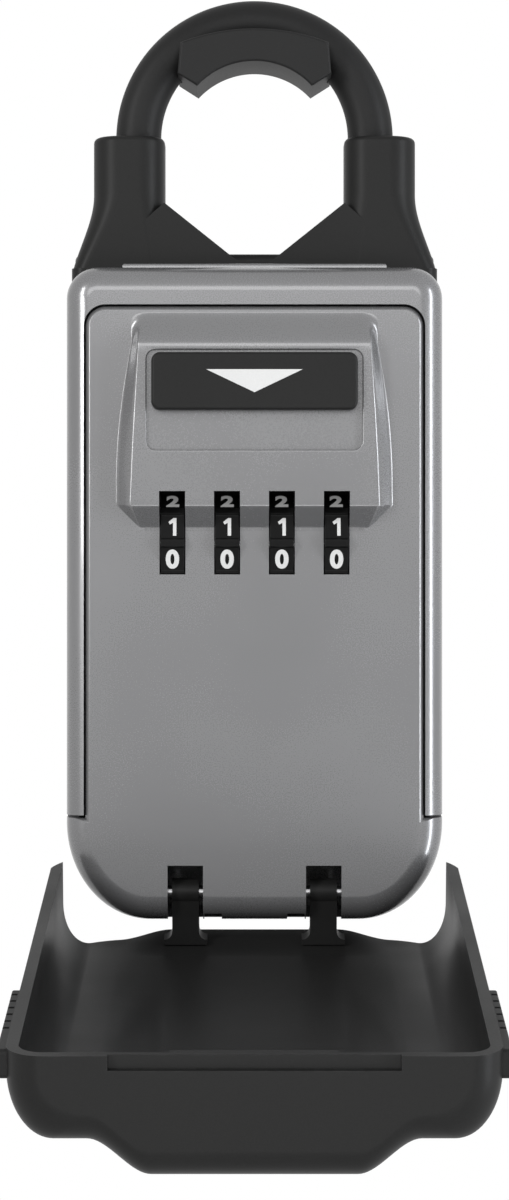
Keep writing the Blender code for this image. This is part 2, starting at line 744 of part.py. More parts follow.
DOOR_TOP = OPENING_TOP - DOOR_GAP
DOOR_CORNER = FRAME_CORNER - DOOR_GAP
SHOE_TOP = FRAME_END - STEP_GAP
DOOR_BACK = CAVITY_FRONT
DOOR_INNER_FRONT = CASE_FRONT + DOOR_WALL
HOOD_FRONT = CASE_FRONT - HOOD_HEIGHT
RECESS_FLOOR = HOOD_FRONT + RECESS_DEPTH
HOOD_INNER_FRONT = RECESS_FLOOR + HOOD_WALL - RECESS_DEPTH
WHEEL_CENTRES = [WHEEL_PITCH * (i - (WHEEL_COUNT - 1) / 2) for i in range(WHEEL_COUNT)]
PLATE_SCREW_PLACES = [
    (x, z)
    for z in (PLATE_TOP - PLATE_SCREW_INSET_Z, PLATE_BOTTOM + PLATE_SCREW_INSET_Z)
    for x in (-PLATE_HALF_WIDTH + PLATE_SCREW_INSET_X, PLATE_HALF_WIDTH - PLATE_SCREW_INSET_X)
]


def smooth_step(share):
    """Ease from 0 to 1 with level ends."""
    share = min(max(share, 0), 1)
    return share * share * (3 - 2 * share)


def hood_ring(z, plateau_half, foot_half, front):
    """One level section of the hood: a flat front between two sloping flanks."""
    buried = CASE_FRONT + OVERLAP
    return [
        (-foot_half, buried, z),
        (-foot_half, min(CASE_FRONT + HOOD_BURY, buried), z),
        (-plateau_half, front, z),
        (plateau_half, front, z),
        (foot_half, min(CASE_FRONT + HOOD_BURY, buried), z),
        (foot_half, buried, z),
    ]


def hood_foot_half(z):
    """Half width of the hood where it meets the door: it swells downwards, then turns in."""
    share = (HOOD_TOP - z) / (HOOD_TOP - HOOD_FOOT_WIDEST_Z)
    swell = math.sin(min(max(share, 0), 1) * math.pi / 2)
    half = HOOD_FOOT_HALF_TOP + (HOOD_FOOT_HALF_WIDEST - HOOD_FOOT_HALF_TOP) * swell
    if z < HOOD_PLATEAU_BOTTOM:
        fall = (HOOD_PLATEAU_BOTTOM - z) / (HOOD_PLATEAU_BOTTOM - HOOD_BOTTOM)
        half += (HOOD_FOOT_HALF_BOTTOM - half) * fall
    return half


def hood_plateau_half(z):
    share = (HOOD_PLATEAU_TOP - z) / (HOOD_PLATEAU_TOP - HOOD_PLATEAU_BOTTOM)
    half = HOOD_PLATEAU_HALF_TOP + (HOOD_PLATEAU_HALF_BOTTOM - HOOD_PLATEAU_HALF_TOP) * min(max(share, 0), 1)
    if z < HOOD_PLATEAU_BOTTOM:
        fall = (HOOD_PLATEAU_BOTTOM - z) / (HOOD_PLATEAU_BOTTOM - HOOD_BOTTOM)
        half += (HOOD_FOOT_HALF_BOTTOM - HOOD_BURY - half) * fall
    return half


def hood_rise(z):
    """How far the hood's front stands before the door at this height."""
    if z > HOOD_PLATEAU_TOP:
        return HOOD_HEIGHT * smooth_step((HOOD_TOP - z) / (HOOD_TOP - HOOD_PLATEAU_TOP))
    if z < HOOD_PLATEAU_BOTTOM:
        return HOOD_HEIGHT * (z - HOOD_BOTTOM) / (HOOD_PLATEAU_BOTTOM - HOOD_BOTTOM)
    return HOOD_HEIGHT


def build_hood():
    levels = [
        HOOD_TOP + (HOOD_PLATEAU_TOP - HOOD_TOP) * i / ROUNDING_STEPS / 2
        for i in range(2 * ROUNDING_STEPS + 1)
    ]
    levels += [
        HOOD_PLATEAU_TOP + (HOOD_PLATEAU_BOTTOM - HOOD_PLATEAU_TOP) * i / ROUNDING_STEPS / 2
        for i in range(1, 2 * ROUNDING_STEPS + 1)
    ]
    levels.append(HOOD_BOTTOM)
    rings = []
    for z in levels:
        front = CASE_FRONT + HOOD_BURY - hood_rise(z) * (1 + HOOD_BURY / HOOD_HEIGHT)
        rings.append(hood_ring(z, hood_plateau_half(z), hood_foot_half(z), front))
    return loft(rings)


def wheel_rod(radius, left, right, sides=HOLE_SIDES):
    """A round bar on the wheels' axis."""
    return rod((left, WHEEL_AXIS_Y, WHEEL_AXIS_Z), (right, WHEEL_AXIS_Y, WHEEL_AXIS_Z), radius, sides)



def door_mask(inset):
    """Outline of the door without its lower corners, drawn in by inset: panel above, shoe below."""
    half = DOOR_HALF - inset
    top = DOOR_TOP - inset
    radius = DOOR_CORNER - inset
    step = SHOE_TOP - inset
    wide = CASE_HALF_WIDTH + 2 * OVERRUN
    low = CASE_BOTTOM - 2 * OVERRUN
    return (
        arc(half - radius, top - radius, radius, radius, 0, 90, CORNER_STEPS)
        + arc(radius - half, top - radius, radius, radius, 90, 180, CORNER_STEPS)
        + [(-half, step), (-wide, step), (-wide, low), (wide, low), (wide, step), (half, step)]
    )


def build_door():
    # Outer form: the case's own outline, masked to a narrow panel above and a full-width shoe below
    door = prism_y(case_outline(0), CASE_FRONT, SHOE_BACK)
    round_edges(door, FRONT_ROUNDING, ROUNDING_STEPS + 1, on_plane(1, CASE_FRONT))
    mask_front = CASE_FRONT - SEAT_GAP / 2
    mask = prism_y(door_mask(0), mask_front, SHOE_BACK + OVERRUN)
    round_edges(mask, DOOR_EDGE_ROUNDING, ROUNDING_STEPS, on_plane(1, mask_front))
    reach = CASE_HALF_WIDTH + OVERRUN
    behind_panel = box(
        (-reach, DOOR_BACK, SHOE_TOP + OVERLAP), (reach, SHOE_BACK + OVERRUN, CASE_TOP + OVERRUN)
    )
    door = join(cut(keep(door, mask), behind_panel), build_hood())

    # Inner form: one wall thick behind the panel, the hood and the shoe
    hollow = prism_y(case_outline(DOOR_WALL), DOOR_INNER_FRONT, SHOE_BACK + OVERRUN)
    hollow = keep(hollow, prism_y(door_mask(DOOR_WALL), DOOR_INNER_FRONT - OVERRUN, SHOE_BACK + 2 * OVERRUN))
    hood_hollow = box(
        (-HOOD_HOLLOW_HALF, HOOD_INNER_FRONT, HOOD_PLATEAU_BOTTOM + HOOD_WALL / 2),
        (HOOD_HOLLOW_HALF, DOOR_INNER_FRONT + OVERLAP, HOOD_PLATEAU_TOP + OVERLAP),
    )
    door = cut(door, [hollow, hood_hollow])

    # What stands on the inside: screw bosses, axle brackets, hinge ears and the spring's ledge
    inner_parts = []
    for x, z in PLATE_SCREW_PLACES:
        inner_parts.append(rod(
            (x, DOOR_INNER_FRONT - OVERLAP, z), (x, PLATE_FRONT - SEAT_GAP, z), PLATE_BOSS_RADIUS, SMALL_SIDES
        ))
    for side in (-1, 1):
        inner = side * BRACKET_INNER_X
        outer = side * (BRACKET_INNER_X + BRACKET_WIDTH)
        inner_parts.append(box(
            (min(inner, outer), DOOR_INNER_FRONT - OVERLAP, WHEEL_AXIS_Z - BRACKET_HALF_HEIGHT),
            (max(inner, outer), WHEEL_AXIS_Y + BRACKET_HALF_HEIGHT, WHEEL_AXIS_Z + BRACKET_HALF_HEIGHT),
        ))
        inner = side * (ARM_CENTRE_X + SLOT_WIDTH / 2 + SLIDE_GAP)
        outer = inner + side * EAR_WIDTH
        ear = arc(HINGE_Y, HINGE_Z, KNUCKLE_RADIUS, KNUCKLE_RADIUS, -90, 90, CORNER_STEPS)
        ear += [
            (DOOR_INNER_FRONT - OVERLAP, HINGE_Z + KNUCKLE_RADIUS),
            (DOOR_INNER_FRONT - OVERLAP, HINGE_Z - KNUCKLE_RADIUS),
        ]
        inner_parts.append(prism_x(ear, min(inner, outer), max(inner, outer)))
    inner_parts.append(box(
        (-OPENER_LEDGE_HALF, HOOD_INNER_FRONT - OVERLAP, OPENER_LEDGE_TOP - OPENER_LEDGE_HEIGHT),
        (OPENER_LEDGE_HALF, DOOR_INNER_FRONT + OPENER_LEDGE_HALF, OPENER_LEDGE_TOP),
    ))
    door = join(door, inner_parts)

    # Openings: arm slots, lug clearances, wheel windows, the opener's recess and its two slots
    cuts = []
    for side in (-1, 1):
        cuts.append(box(
            (side * ARM_CENTRE_X - SLOT_WIDTH / 2, CASE_FRONT - OVERRUN, CASE_BOTTOM - OVERRUN),
            (side * ARM_CENTRE_X + SLOT_WIDTH / 2, SHOE_BACK + OVERRUN, HINGE_Z + SLOT_TOP_ABOVE_AXIS),
        ))
        inner = side * (LUG_INNER_X - SLIDE_GAP)
        outer = side * (LUG_INNER_X + LUG_WIDTH + SLIDE_GAP)
        cuts.append(box(
            (min(inner, outer), HINGE_Y - KNUCKLE_RADIUS - LUG_CLEARANCE, CASE_BOTTOM - OVERRUN),
            (max(inner, outer), SHOE_BACK + OVERRUN, CASE_BOTTOM + DOOR_WALL + OVERLAP),
        ))
    for x in WHEEL_CENTRES:
        left = x - WINDOW_WIDTH / 2
        right = x + WINDOW_WIDTH / 2
        cuts.append(box(
            (left, HOOD_FRONT - OVERRUN, WINDOW_BOTTOM), (right, DOOR_INNER_FRONT + OVERRUN, WINDOW_TOP)
        ))
        cuts.append(wheel_rod(WHEEL_RADIUS + SEAT_GAP, left, right, SWING_SIDES))
    cuts.append(prism_y(
        rounded_rectangle(-RECESS_HALF, RECESS_HALF, RECESS_BOTTOM, RECESS_TOP, RECESS_CORNER, ROUNDING_STEPS + 1),
        HOOD_FRONT - OVERRUN,
        RECESS_FLOOR,
    ))
    for side in (-1, 1):
        middle = side * STEM_CENTRE_X
        half = STEM_WIDTH / 2 + SLIDE_GAP
        cuts.append(box(
            (middle - half, RECESS_FLOOR - OVERRUN, STEM_TOP - STEM_HEIGHT - OPENER_TRAVEL - SEAT_GAP),
            (middle + half, DOOR_INNER_FRONT + OVERLAP, STEM_TOP + SEAT_GAP),
        ))
    gaps = [-INDEX_GROOVE_HALF] + WHEEL_CENTRES + [INDEX_GROOVE_HALF]
    for i, (left, right) in enumerate(zip(gaps, gaps[1:])):
        start = left if i == 0 else left + WINDOW_WIDTH / 2 - OVERLAP
        end = right if i == WHEEL_COUNT else right - WINDOW_WIDTH / 2 + OVERLAP
        cuts.append(box(
            (start, CASE_FRONT - OVERRUN, HOOD_BOTTOM - INDEX_GROOVE_HEIGHT / 2),
            (end, CASE_FRONT + INDEX_GROOVE_DEPTH, HOOD_BOTTOM + INDEX_GROOVE_HEIGHT / 2),
        ))
    cuts.append(hinge_rod(PIN_RADIUS + RUN_GAP, -PIN_HALF_LENGTH, PIN_HALF_LENGTH))
    cuts.append(wheel_rod(AXLE_RADIUS + SEAT_GAP / 2, -AXLE_HALF_LENGTH, AXLE_HALF_LENGTH, SMALL_SIDES))
    for x, z in PLATE_SCREW_PLACES:
        cuts.append(rod(
            (x, PLATE_FRONT + OVERRUN, z),
            (x, PLATE_FRONT + PLATE_THICKNESS - PLATE_SCREW_LENGTH - SEAT_GAP, z),
            SCREW_SHANK_RADIUS + SEAT_GAP, SMALL_SIDES,
        ))
    return finish(cut(door, cuts), "door_shell", *SILVER)


door_shell = build_door()


# Opener: push-down button, its arrow, the carrier behind the door wall and the return spring

BUTTON_BACK = RECESS_FLOOR - SEAT_GAP
BUTTON_FRONT = BUTTON_BACK - OPENER_THICKNESS
CARRIER_FRONT = HOOD_INNER_FRONT + SEAT_GAP
CARRIER_BACK = CARRIER_FRONT + CARRIER_THICKNESS
CARRIER_BOTTOM = OPENER_TOP - CARRIER_HEIGHT


def arrow_outline(inset):
    """Flat triangle that points down, drawn in by inset on every side."""
    slope = math.hypot(ARROW_HALF, ARROW_HEIGHT)
    half_angle = math.atan2(ARROW_HEIGHT, ARROW_HALF) / 2
    side = inset / math.tan(half_angle)
    return [
        (-ARROW_HALF + side, ARROW_TOP - inset),
        (0, ARROW_TOP - ARROW_HEIGHT + inset * slope / ARROW_HALF),
        (ARROW_HALF - side, ARROW_TOP - inset),
    ]


def build_opener():
    button = prism_y(
        rounded_rectangle(
            -OPENER_HALF, OPENER_HALF, OPENER_TOP - OPENER_HEIGHT, OPENER_TOP, OPENER_CORNER, ROUNDING_STEPS + 1
        ),
        BUTTON_FRONT,
        BUTTON_BACK,
    )
    round_edges(button, OPENER_CHAMFER, 2, on_plane(1, BUTTON_FRONT))
    stems = []
    sockets = []
    for side in (-1, 1):
        low = (side * STEM_CENTRE_X - STEM_WIDTH / 2, BUTTON_BACK - OVERLAP, STEM_TOP - STEM_HEIGHT)
        high = (side * STEM_CENTRE_X + STEM_WIDTH / 2, CARRIER_BACK + SEAT_GAP, STEM_TOP)
        stems.append(box(low, high))
        sockets.append(box(
            (low[0] - SEAT_GAP, CARRIER_FRONT - OVERRUN, low[2] - SEAT_GAP),
            (high[0] + SEAT_GAP, CARRIER_BACK + OVERRUN, high[2] + SEAT_GAP),
        ))
    button = join(button, stems)
    pocket = prism_y(arrow_outline(0), BUTTON_FRONT - OVERRUN, BUTTON_FRONT + ARROW_THICKNESS)
    button = finish(cut(button, pocket), "opener_button", *BLACK_PLASTIC)
    arrow = prism_y(
        arrow_outline(SEAT_GAP / 3), BUTTON_FRONT - ARROW_PROUD, BUTTON_FRONT + ARROW_THICKNESS - SEAT_GAP / 3
    )
    finish(arrow, "opener_arrow", *WHITE)
    carrier = box(
        (-CARRIER_HALF, CARRIER_FRONT, CARRIER_BOTTOM), (CARRIER_HALF, CARRIER_BACK, OPENER_TOP)
    )
    finish(cut(carrier, sockets), "opener_carrier", *ZINC)
    spring = coil(
        OPENER_SPRING_RADIUS, OPENER_SPRING_WIRE, OPENER_SPRING_TURNS, 0,
        CARRIER_FRONT + OPENER_SPRING_RADIUS + OPENER_SPRING_WIRE,
        OPENER_LEDGE_TOP + SEAT_GAP, CARRIER_BOTTOM - SEAT_GAP,
    )
    finish(spring, "opener_spring", *STEEL)


build_opener()


# Number wheels with their code hubs on one axle

def rim_outline():
    """Ten-sided rim with one corner facing forward, in (y, z)."""
    points = []
    for i in range(WHEEL_SIDES):
        angle = 2 * math.pi * i / WHEEL_SIDES
        points.append((
            WHEEL_AXIS_Y - WHEEL_RADIUS * math.cos(angle), WHEEL_AXIS_Z + WHEEL_RADIUS * math.sin(angle)
        ))
    return points


def build_wheel(number, centre):
    left = centre - WHEEL_WIDTH / 2
    right = centre + WHEEL_WIDTH / 2
    wheel = prism_x(rim_outline(), left, right)
    round_edges(wheel, WHEEL_RIM_CHAMFER, 1, on_plane(0, left))
    round_edges(wheel, WHEEL_RIM_CHAMFER, 1, on_plane(0, right))
    bore = AXLE_RADIUS + RUN_GAP
    wheel = cut(wheel, wheel_rod(bore, left - OVERRUN, right + OVERRUN, SMALL_SIDES))
    finish(wheel, f"dial_wheel_{number}", *WHEEL_PLASTIC)
    hub_left = right + SEAT_GAP
    hub_right = hub_left + HUB_WIDTH
    hub = wheel_rod(HUB_RADIUS, hub_left, hub_right)
    gate = box(
        (hub_left - OVERRUN, WHEEL_AXIS_Y - GATE_WIDTH / 2, WHEEL_AXIS_Z + HUB_RADIUS - GATE_DEPTH),
        (hub_right + OVERRUN, WHEEL_AXIS_Y + GATE_WIDTH / 2, WHEEL_AXIS_Z + HUB_RADIUS + OVERRUN),
    )
    hub = cut(hub, [gate, wheel_rod(bore, hub_left - OVERRUN, hub_right + OVERRUN, SMALL_SIDES)])
    finish(hub, f"code_hub_{number}", *ZINC)


for place_number, wheel_x in enumerate(WHEEL_CENTRES, 1):
    build_wheel(place_number, wheel_x)
wheel_axle = finish(
    wheel_rod(AXLE_RADIUS, SEAT_GAP - AXLE_HALF_LENGTH, AXLE_HALF_LENGTH - SEAT_GAP, SMALL_SIDES),
    "wheel_axle", *STEEL,
)


# Mechanism plate, detent spring, reset lever and latch

PLATE_BACK = PLATE_FRONT + PLATE_THICKNESS
BOLT_FRONT = CAVITY_FRONT + SEAT_GAP
BOLT_BACK = BOLT_FRONT + BOLT_THICKNESS
BOLT_TOP = OPENING_TOP - BOLT_TOP_GAP
LEVER_FRONT = PLATE_BACK + SEAT_GAP
LEVER_BACK = LEVER_FRONT + LEVER_THICKNESS


def build_mechanism_plate():
    plate = prism_y(
        rounded_rectangle(
            -PLATE_HALF_WIDTH, PLATE_HALF_WIDTH, PLATE_BOTTOM, PLATE_TOP, PLATE_CORNER, ROUNDING_STEPS
        ),
        PLATE_FRONT,
        PLATE_BACK,
    )
    parts = []
    for side in (-1, 1):
        parts.append(box(
            (side * PLATE_RIB_X - PLATE_RIB_WIDTH / 2, BOLT_BACK + SEAT_GAP, BOLT_BOTTOM + PLATE_RIB_WIDTH / 2),
            (side * PLATE_RIB_X + PLATE_RIB_WIDTH / 2, PLATE_FRONT + OVERLAP, BOLT_TOP - 2 * BOLT_NOSE_HEIGHT),
        ))
    parts.append(box(
        (-LATCH_PEG_HALF, BOLT_FRONT, LATCH_PEG_TOP - LATCH_PEG_HEIGHT),
        (LATCH_PEG_HALF, PLATE_FRONT + OVERLAP, LATCH_PEG_TOP),
    ))
    plate = join(plate, parts)
    holes = [
        rod((x, PLATE_FRONT - OVERRUN, z), (x, PLATE_BACK + OVERRUN, z), SCREW_SHANK_RADIUS + SEAT_GAP, SMALL_SIDES)
        for x, z in PLATE_SCREW_PLACES
    ]
    holes.append(rod(
        (LEVER_X, PLATE_FRONT - OVERRUN, LEVER_Z), (LEVER_X, PLATE_BACK + OVERRUN, LEVER_Z),
        PIVOT_RADIUS + RUN_GAP, SMALL_SIDES,
    ))
    finish(cut(plate, holes), "mechanism_plate", *ZINC)
    for number, (x, z) in enumerate(PLATE_SCREW_PLACES, 1):
        finish(
            screw((x, PLATE_BACK + SEAT_GAP, z), (0, -1, 0), PLATE_SCREW_LENGTH), f"plate_screw_{number}", *STEEL
        )


def build_detent():
    top = WHEEL_AXIS_Z - WHEEL_RADIUS - DETENT_GAP
    back = PLATE_FRONT - SEAT_GAP
    strip = box(
        (-DETENT_HALF_WIDTH, back - DETENT_THICKNESS, top - DETENT_BASE_HEIGHT), (DETENT_HALF_WIDTH, back, top)
    )
    fingers = [
        box(
            (x - DETENT_FINGER_WIDTH / 2, WHEEL_AXIS_Y - DETENT_FINGER_WIDTH / 2, top - DETENT_THICKNESS),
            (x + DETENT_FINGER_WIDTH / 2, back - DETENT_THICKNESS / 2, top - WELD_DISTANCE),
        )
        for x in WHEEL_CENTRES
    ]
    finish(join(strip, fingers), "detent_spring", *STEEL)


def build_lever():
    """Reset lever: a round hub that tapers to a tip, with a thumb peg."""
    reach = LEVER_LENGTH
    lean = math.acos((LEVER_HUB_RADIUS - LEVER_TIP_RADIUS) / reach)
    lean_deg = math.degrees(lean)
    outline = arc(LEVER_X, LEVER_Z, LEVER_HUB_RADIUS, LEVER_HUB_RADIUS, 90 + lean_deg, 450 - lean_deg, 2 * CORNER_STEPS)
    outline += arc(
        LEVER_X, LEVER_Z + reach, LEVER_TIP_RADIUS, LEVER_TIP_RADIUS, 90 - lean_deg, 90 + lean_deg, CORNER_STEPS
    )
    lever = prism_y(outline, LEVER_FRONT, LEVER_BACK)
    peg = rod(
        (LEVER_X, LEVER_FRONT + OVERLAP, LEVER_Z + reach),
        (LEVER_X, LEVER_BACK + LEVER_THICKNESS, LEVER_Z + reach),
        LEVER_TIP_RADIUS * LEVER_PEG_SHARE, SMALL_SIDES,
    )
    bore = rod(
        (LEVER_X, LEVER_FRONT - OVERRUN, LEVER_Z), (LEVER_X, LEVER_BACK + OVERRUN, LEVER_Z),
        PIVOT_RADIUS + RUN_GAP, SMALL_SIDES,
    )
    finish(cut(join(lever, peg), bore), "reset_lever", *ZINC)
    head_front = LEVER_BACK + SEAT_GAP
    pivot = rod((LEVER_X, PLATE_FRONT, LEVER_Z), (LEVER_X, head_front + OVERLAP, LEVER_Z), PIVOT_RADIUS, SMALL_SIDES)
    head = rod(
        (LEVER_X, head_front, LEVER_Z), (LEVER_X, head_front + PIVOT_HEAD_HEIGHT, LEVER_Z),
        PIVOT_HEAD_RADIUS, SMALL_SIDES,
    )
    round_edges(head, PIVOT_HEAD_HEIGHT / 2, 2, on_plane(1, head_front + PIVOT_HEAD_HEIGHT))
    finish(join(pivot, head), "reset_pivot", *STEEL)


def build_latch():
    shoulder = BOLT_TOP - BOLT_NOSE_HEIGHT
    outline = [
        (-BOLT_SHOULDER_HALF, BOLT_BOTTOM), (BOLT_SHOULDER_HALF, BOLT_BOTTOM), (BOLT_SHOULDER_HALF, shoulder),
        (BOLT_HALF_WIDTH, shoulder), (BOLT_HALF_WIDTH, BOLT_TOP), (-BOLT_HALF_WIDTH, BOLT_TOP),
        (-BOLT_HALF_WIDTH, shoulder), (-BOLT_SHOULDER_HALF, shoulder),
    ]
    bolt = prism_y(outline, BOLT_FRONT, BOLT_BACK)
    window = box(
        (-BOLT_WINDOW_HALF, BOLT_FRONT - OVERRUN, BOLT_WINDOW_BOTTOM),
        (BOLT_WINDOW_HALF, BOLT_BACK + OVERRUN, BOLT_WINDOW_TOP),
    )
    finish(cut(bolt, window), "latch_bolt", *STEEL)
    spring = coil(
        LATCH_SPRING_RADIUS, LATCH_SPRING_WIRE, LATCH_SPRING_TURNS, 0, (BOLT_FRONT + BOLT_BACK) / 2,
        LATCH_PEG_TOP + SEAT_GAP, BOLT_WINDOW_TOP - SEAT_GAP,
    )
    finish(spring, "latch_spring", *STEEL)


build_mechanism_plate()
build_detent()
build_lever()
build_latch()


# Shackle and its bumper pad

def shackle_path(bottom):
    """Up one leg, round the arch and down the other, in (x, z)."""
    arch = arc(0, ARCH_CENTRE_Z, LEG_X, LEG_X, 180, 0, 3 * CORNER_STEPS)
    return [(-LEG_X, bottom)] + arch + [(LEG_X, bottom)]


def shackle_tube(radius, bottom, resolution):
    curve = bpy.data.curves.new("shackle", "CURVE")
    curve.dimensions = "3D"
    curve.bevel_depth = radius
    curve.bevel_resolution = resolution
    curve.use_fill_caps = True
    spline = curve.splines.new("POLY")
    path = shackle_path(bottom)
    spline.points.add(len(path) - 1)
    for point, (x, z) in zip(spline.points, path):
        point.co = (x, 0, z, 1)
    obj = bpy.data.objects.new("shackle", curve)
    SAFE.objects.link(obj)
    return weld(evaluated_copy(obj))


def build_shackle():
    tube = shackle_tube(SHACKLE_RADIUS, LEG_BOTTOM, SHACKLE_RESOLUTION)
    round_edges(tube, LEG_TIP_CHAMFER, 2, on_plane(2, LEG_BOTTOM))
    rings = []
    for side in (-1, 1):
        x = side * LEG_X
        ring = rod((x, 0, NECK_TOP - NECK_HEIGHT), (x, 0, NECK_TOP), SHACKLE_RADIUS + OVERLAP)
        core = rod((x, 0, NECK_TOP - NECK_HEIGHT - OVERRUN), (x, 0, NECK_TOP + OVERRUN), NECK_RADIUS)
        rings.append(cut(ring, core))
    finish(cut(tube, rings), "shackle", *BLACK_RUBBER)


def three_point_arc(start, middle, end, steps):
    """Points along the circle through three points, start left out."""
    (ax, az), (bx, bz), (cx, cz) = start, middle, end
    twice = 2 * (ax * (bz - cz) + bx * (cz - az) + cx * (az - bz))
    a2, b2, c2 = ax * ax + az * az, bx * bx + bz * bz, cx * cx + cz * cz
    centre_x = (a2 * (bz - cz) + b2 * (cz - az) + c2 * (az - bz)) / twice
    centre_z = (a2 * (cx - bx) + b2 * (ax - cx) + c2 * (bx - ax)) / twice
    radius = math.hypot(ax - centre_x, az - centre_z)
    first = math.atan2(az - centre_z, ax - centre_x)
    turn = math.atan2(cz - centre_z, cx - centre_x) - first
    half = math.atan2(bz - centre_z, bx - centre_x) - first
    turn = math.remainder(turn, 2 * math.pi)
    if math.remainder(half, 2 * math.pi) * turn < 0:
        turn -= math.copysign(2 * math.pi, turn)
    return [
        (centre_x + radius * math.cos(first + turn * i / steps), centre_z + radius * math.sin(first + turn * i / steps))
        for i in range(1, steps + 1)
    ]


def build_bumper():
    right_tip = (BUMPER_TIP_X, BUMPER_TIP_Z)
    left_tip = (-BUMPER_TIP_X, BUMPER_TIP_Z)
    right_shoulder = (BUMPER_SHOULDER_X, BUMPER_SHOULDER_Z)
    left_shoulder = (-BUMPER_SHOULDER_X, BUMPER_SHOULDER_Z)
    outline = [left_tip]
    outline += three_point_arc(left_tip, (0, 0), right_tip, 2 * CORNER_STEPS)
    outline += [(BUMPER_SIDE_X, BUMPER_SIDE_Z), right_shoulder]
    outline += three_point_arc(right_shoulder, (0, BUMPER_CROWN_Z), left_shoulder, CORNER_STEPS)
    outline += [(-BUMPER_SIDE_X, BUMPER_SIDE_Z)]
    pad = prism_y(outline, -BUMPER_HALF_DEPTH, BUMPER_HALF_DEPTH)
    for face in (-BUMPER_HALF_DEPTH, BUMPER_HALF_DEPTH):
        round_edges(pad, BUMPER_CHAMFER, 2, on_plane(1, face))
    channel = shackle_tube(SHACKLE_RADIUS + SEAT_GAP, ARCH_CENTRE_Z - LEG_X, SHACKLE_RESOLUTION)
    finish(cut(pad, channel), "shackle_bumper", *BLACK_RUBBER)


build_shackle()
build_bumper()


# Base cap: two ferrules joined by a valley, flaring out over the case top

def cap_ring(z, inner_x, outer_x, front, back, corner):
    """One level section of a flared ferrule."""
    points = rounded_rectangle(inner_x, outer_x, front, back, corner, ROUNDING_STEPS + 1)
    return [(x, y, z) for x, y in points]


def cap_foot_top():
    return CASE_TOP + SEAT_GAP + CAP_FOOT_HEIGHT


def build_ferrule():
    """The right-hand ferrule: an upright tube that flares to the outer side and to the back."""
    rings = []
    for i in range(ROUNDING_STEPS + 1):
        angle = math.pi / 2 * (1 - i / ROUNDING_STEPS)
        inset = FERRULE_TOP_ROUNDING * (1 - math.cos(angle))
        z = FERRULE_TOP - FERRULE_TOP_ROUNDING * (1 - math.sin(angle))
        rings.append(cap_ring(
            z, FERRULE_INNER_X + inset, FERRULE_OUTER_X - inset,
            inset - FERRULE_HALF_DEPTH, FERRULE_HALF_DEPTH - inset, FERRULE_CORNER - inset,
        ))
    low = CASE_TOP - OVERLAP
    steps = CORNER_STEPS
    for i in range(steps + 1):
        share = i / steps
        z = CAP_FLARE_START_Z + (low - CAP_FLARE_START_Z) * share
        spread = smooth_step(share * CAP_FLARE_SHARE) / smooth_step(CAP_FLARE_SHARE)
        back_spread = smooth_step(share)
        rings.append(cap_ring(
            z,
            FERRULE_INNER_X,
            FERRULE_OUTER_X + (CAP_OUTER_X - FERRULE_OUTER_X) * spread,
            -FERRULE_HALF_DEPTH,
            FERRULE_HALF_DEPTH + (CAP_BACK - FERRULE_HALF_DEPTH) * back_spread,
            FERRULE_CORNER + (CAP_CORNER - FERRULE_CORNER) * share,
        ))
    return loft(rings)


def mirrored(obj):
    """A copy of a mesh piece on the other side of the x = 0 plane."""
    mesh = obj.data.copy()
    mesh.transform(Matrix.Scale(-1, 4, (1, 0, 0)))
    mesh.flip_normals()
    return add_mesh(mesh)


def build_cap():
    low = CASE_TOP - 2 * OVERLAP
    flank = [
        (-FERRULE_INNER_X - OVERLAP, low), (FERRULE_INNER_X + OVERLAP, low), (FERRULE_INNER_X + OVERLAP, FLANK_TOP_Z),
        (FERRULE_INNER_X, FLANK_TOP_Z), (VALLEY_HALF_WIDTH, VALLEY_Z), (-VALLEY_HALF_WIDTH, VALLEY_Z),
        (-FERRULE_INNER_X, FLANK_TOP_Z), (-FERRULE_INNER_X - OVERLAP, FLANK_TOP_Z),
    ]
    cap = prism_y(flank, OVERLAP / 5 - FERRULE_HALF_DEPTH, FERRULE_HALF_DEPTH)
    foot_top = cap_foot_top()
    back = prism_z(
        rounded_rectangle(
            OVERLAP - CAP_OUTER_X, CAP_OUTER_X - OVERLAP, FERRULE_HALF_DEPTH - 2 * FERRULE_CORNER,
            CAP_BACK - OVERLAP, CAP_CORNER, ROUNDING_STEPS,
        ),
        CASE_TOP - OVERLAP / 2,
        foot_top,
    )
    round_edges(back, CAP_FOOT_HEIGHT / 3, ROUNDING_STEPS, on_plane(2, foot_top))
    ferrule = build_ferrule()
    skirt = prism_z(
        rounded_rectangle(
            CASE_HALF_WIDTH - CASE_TOP_RADIUS, CAP_OUTER_X, -FERRULE_HALF_DEPTH, CAP_BACK, CAP_CORNER,
            ROUNDING_STEPS + 1,
        ),
        CASE_TOP - CAP_WRAP,
        CASE_TOP + SEAT_GAP + OVERLAP,
    )
    ferrule = join(ferrule, skirt)
    cap = join(cap, [back, mirrored(ferrule), ferrule])
    cuts = [prism_y(
        case_outline(-SEAT_GAP), FERRULE_HALF_DEPTH - 3 * CAP_BACK, 2 * CAP_BACK
    )]
    for side in (-1, 1):
        x = side * LEG_X
        cuts.append(rod((x, 0, low - OVERRUN), (x, 0, FERRULE_TOP + OVERRUN), SHACKLE_RADIUS + SEAT_GAP))
        x = side * CAP_SCREW_X
        cuts.append(rod(
            (x, CAP_SCREW_Y, low - OVERRUN), (x, CAP_SCREW_Y, CAVITY_TOP - SEAT_GAP + CAP_SCREW_LENGTH + SEAT_GAP),
            SCREW_SHANK_RADIUS + SEAT_GAP, SMALL_SIDES,
        ))
    finish(cut(cap, cuts), "shackle_base", *BLACK_PLASTIC)
    for number, side in ((1, -1), (2, 1)):
        piece = screw((side * CAP_SCREW_X, CAP_SCREW_Y, CAVITY_TOP - SEAT_GAP), (0, 0, 1), CAP_SCREW_LENGTH)
        finish(piece, f"base_screw_{number}", *STEEL)


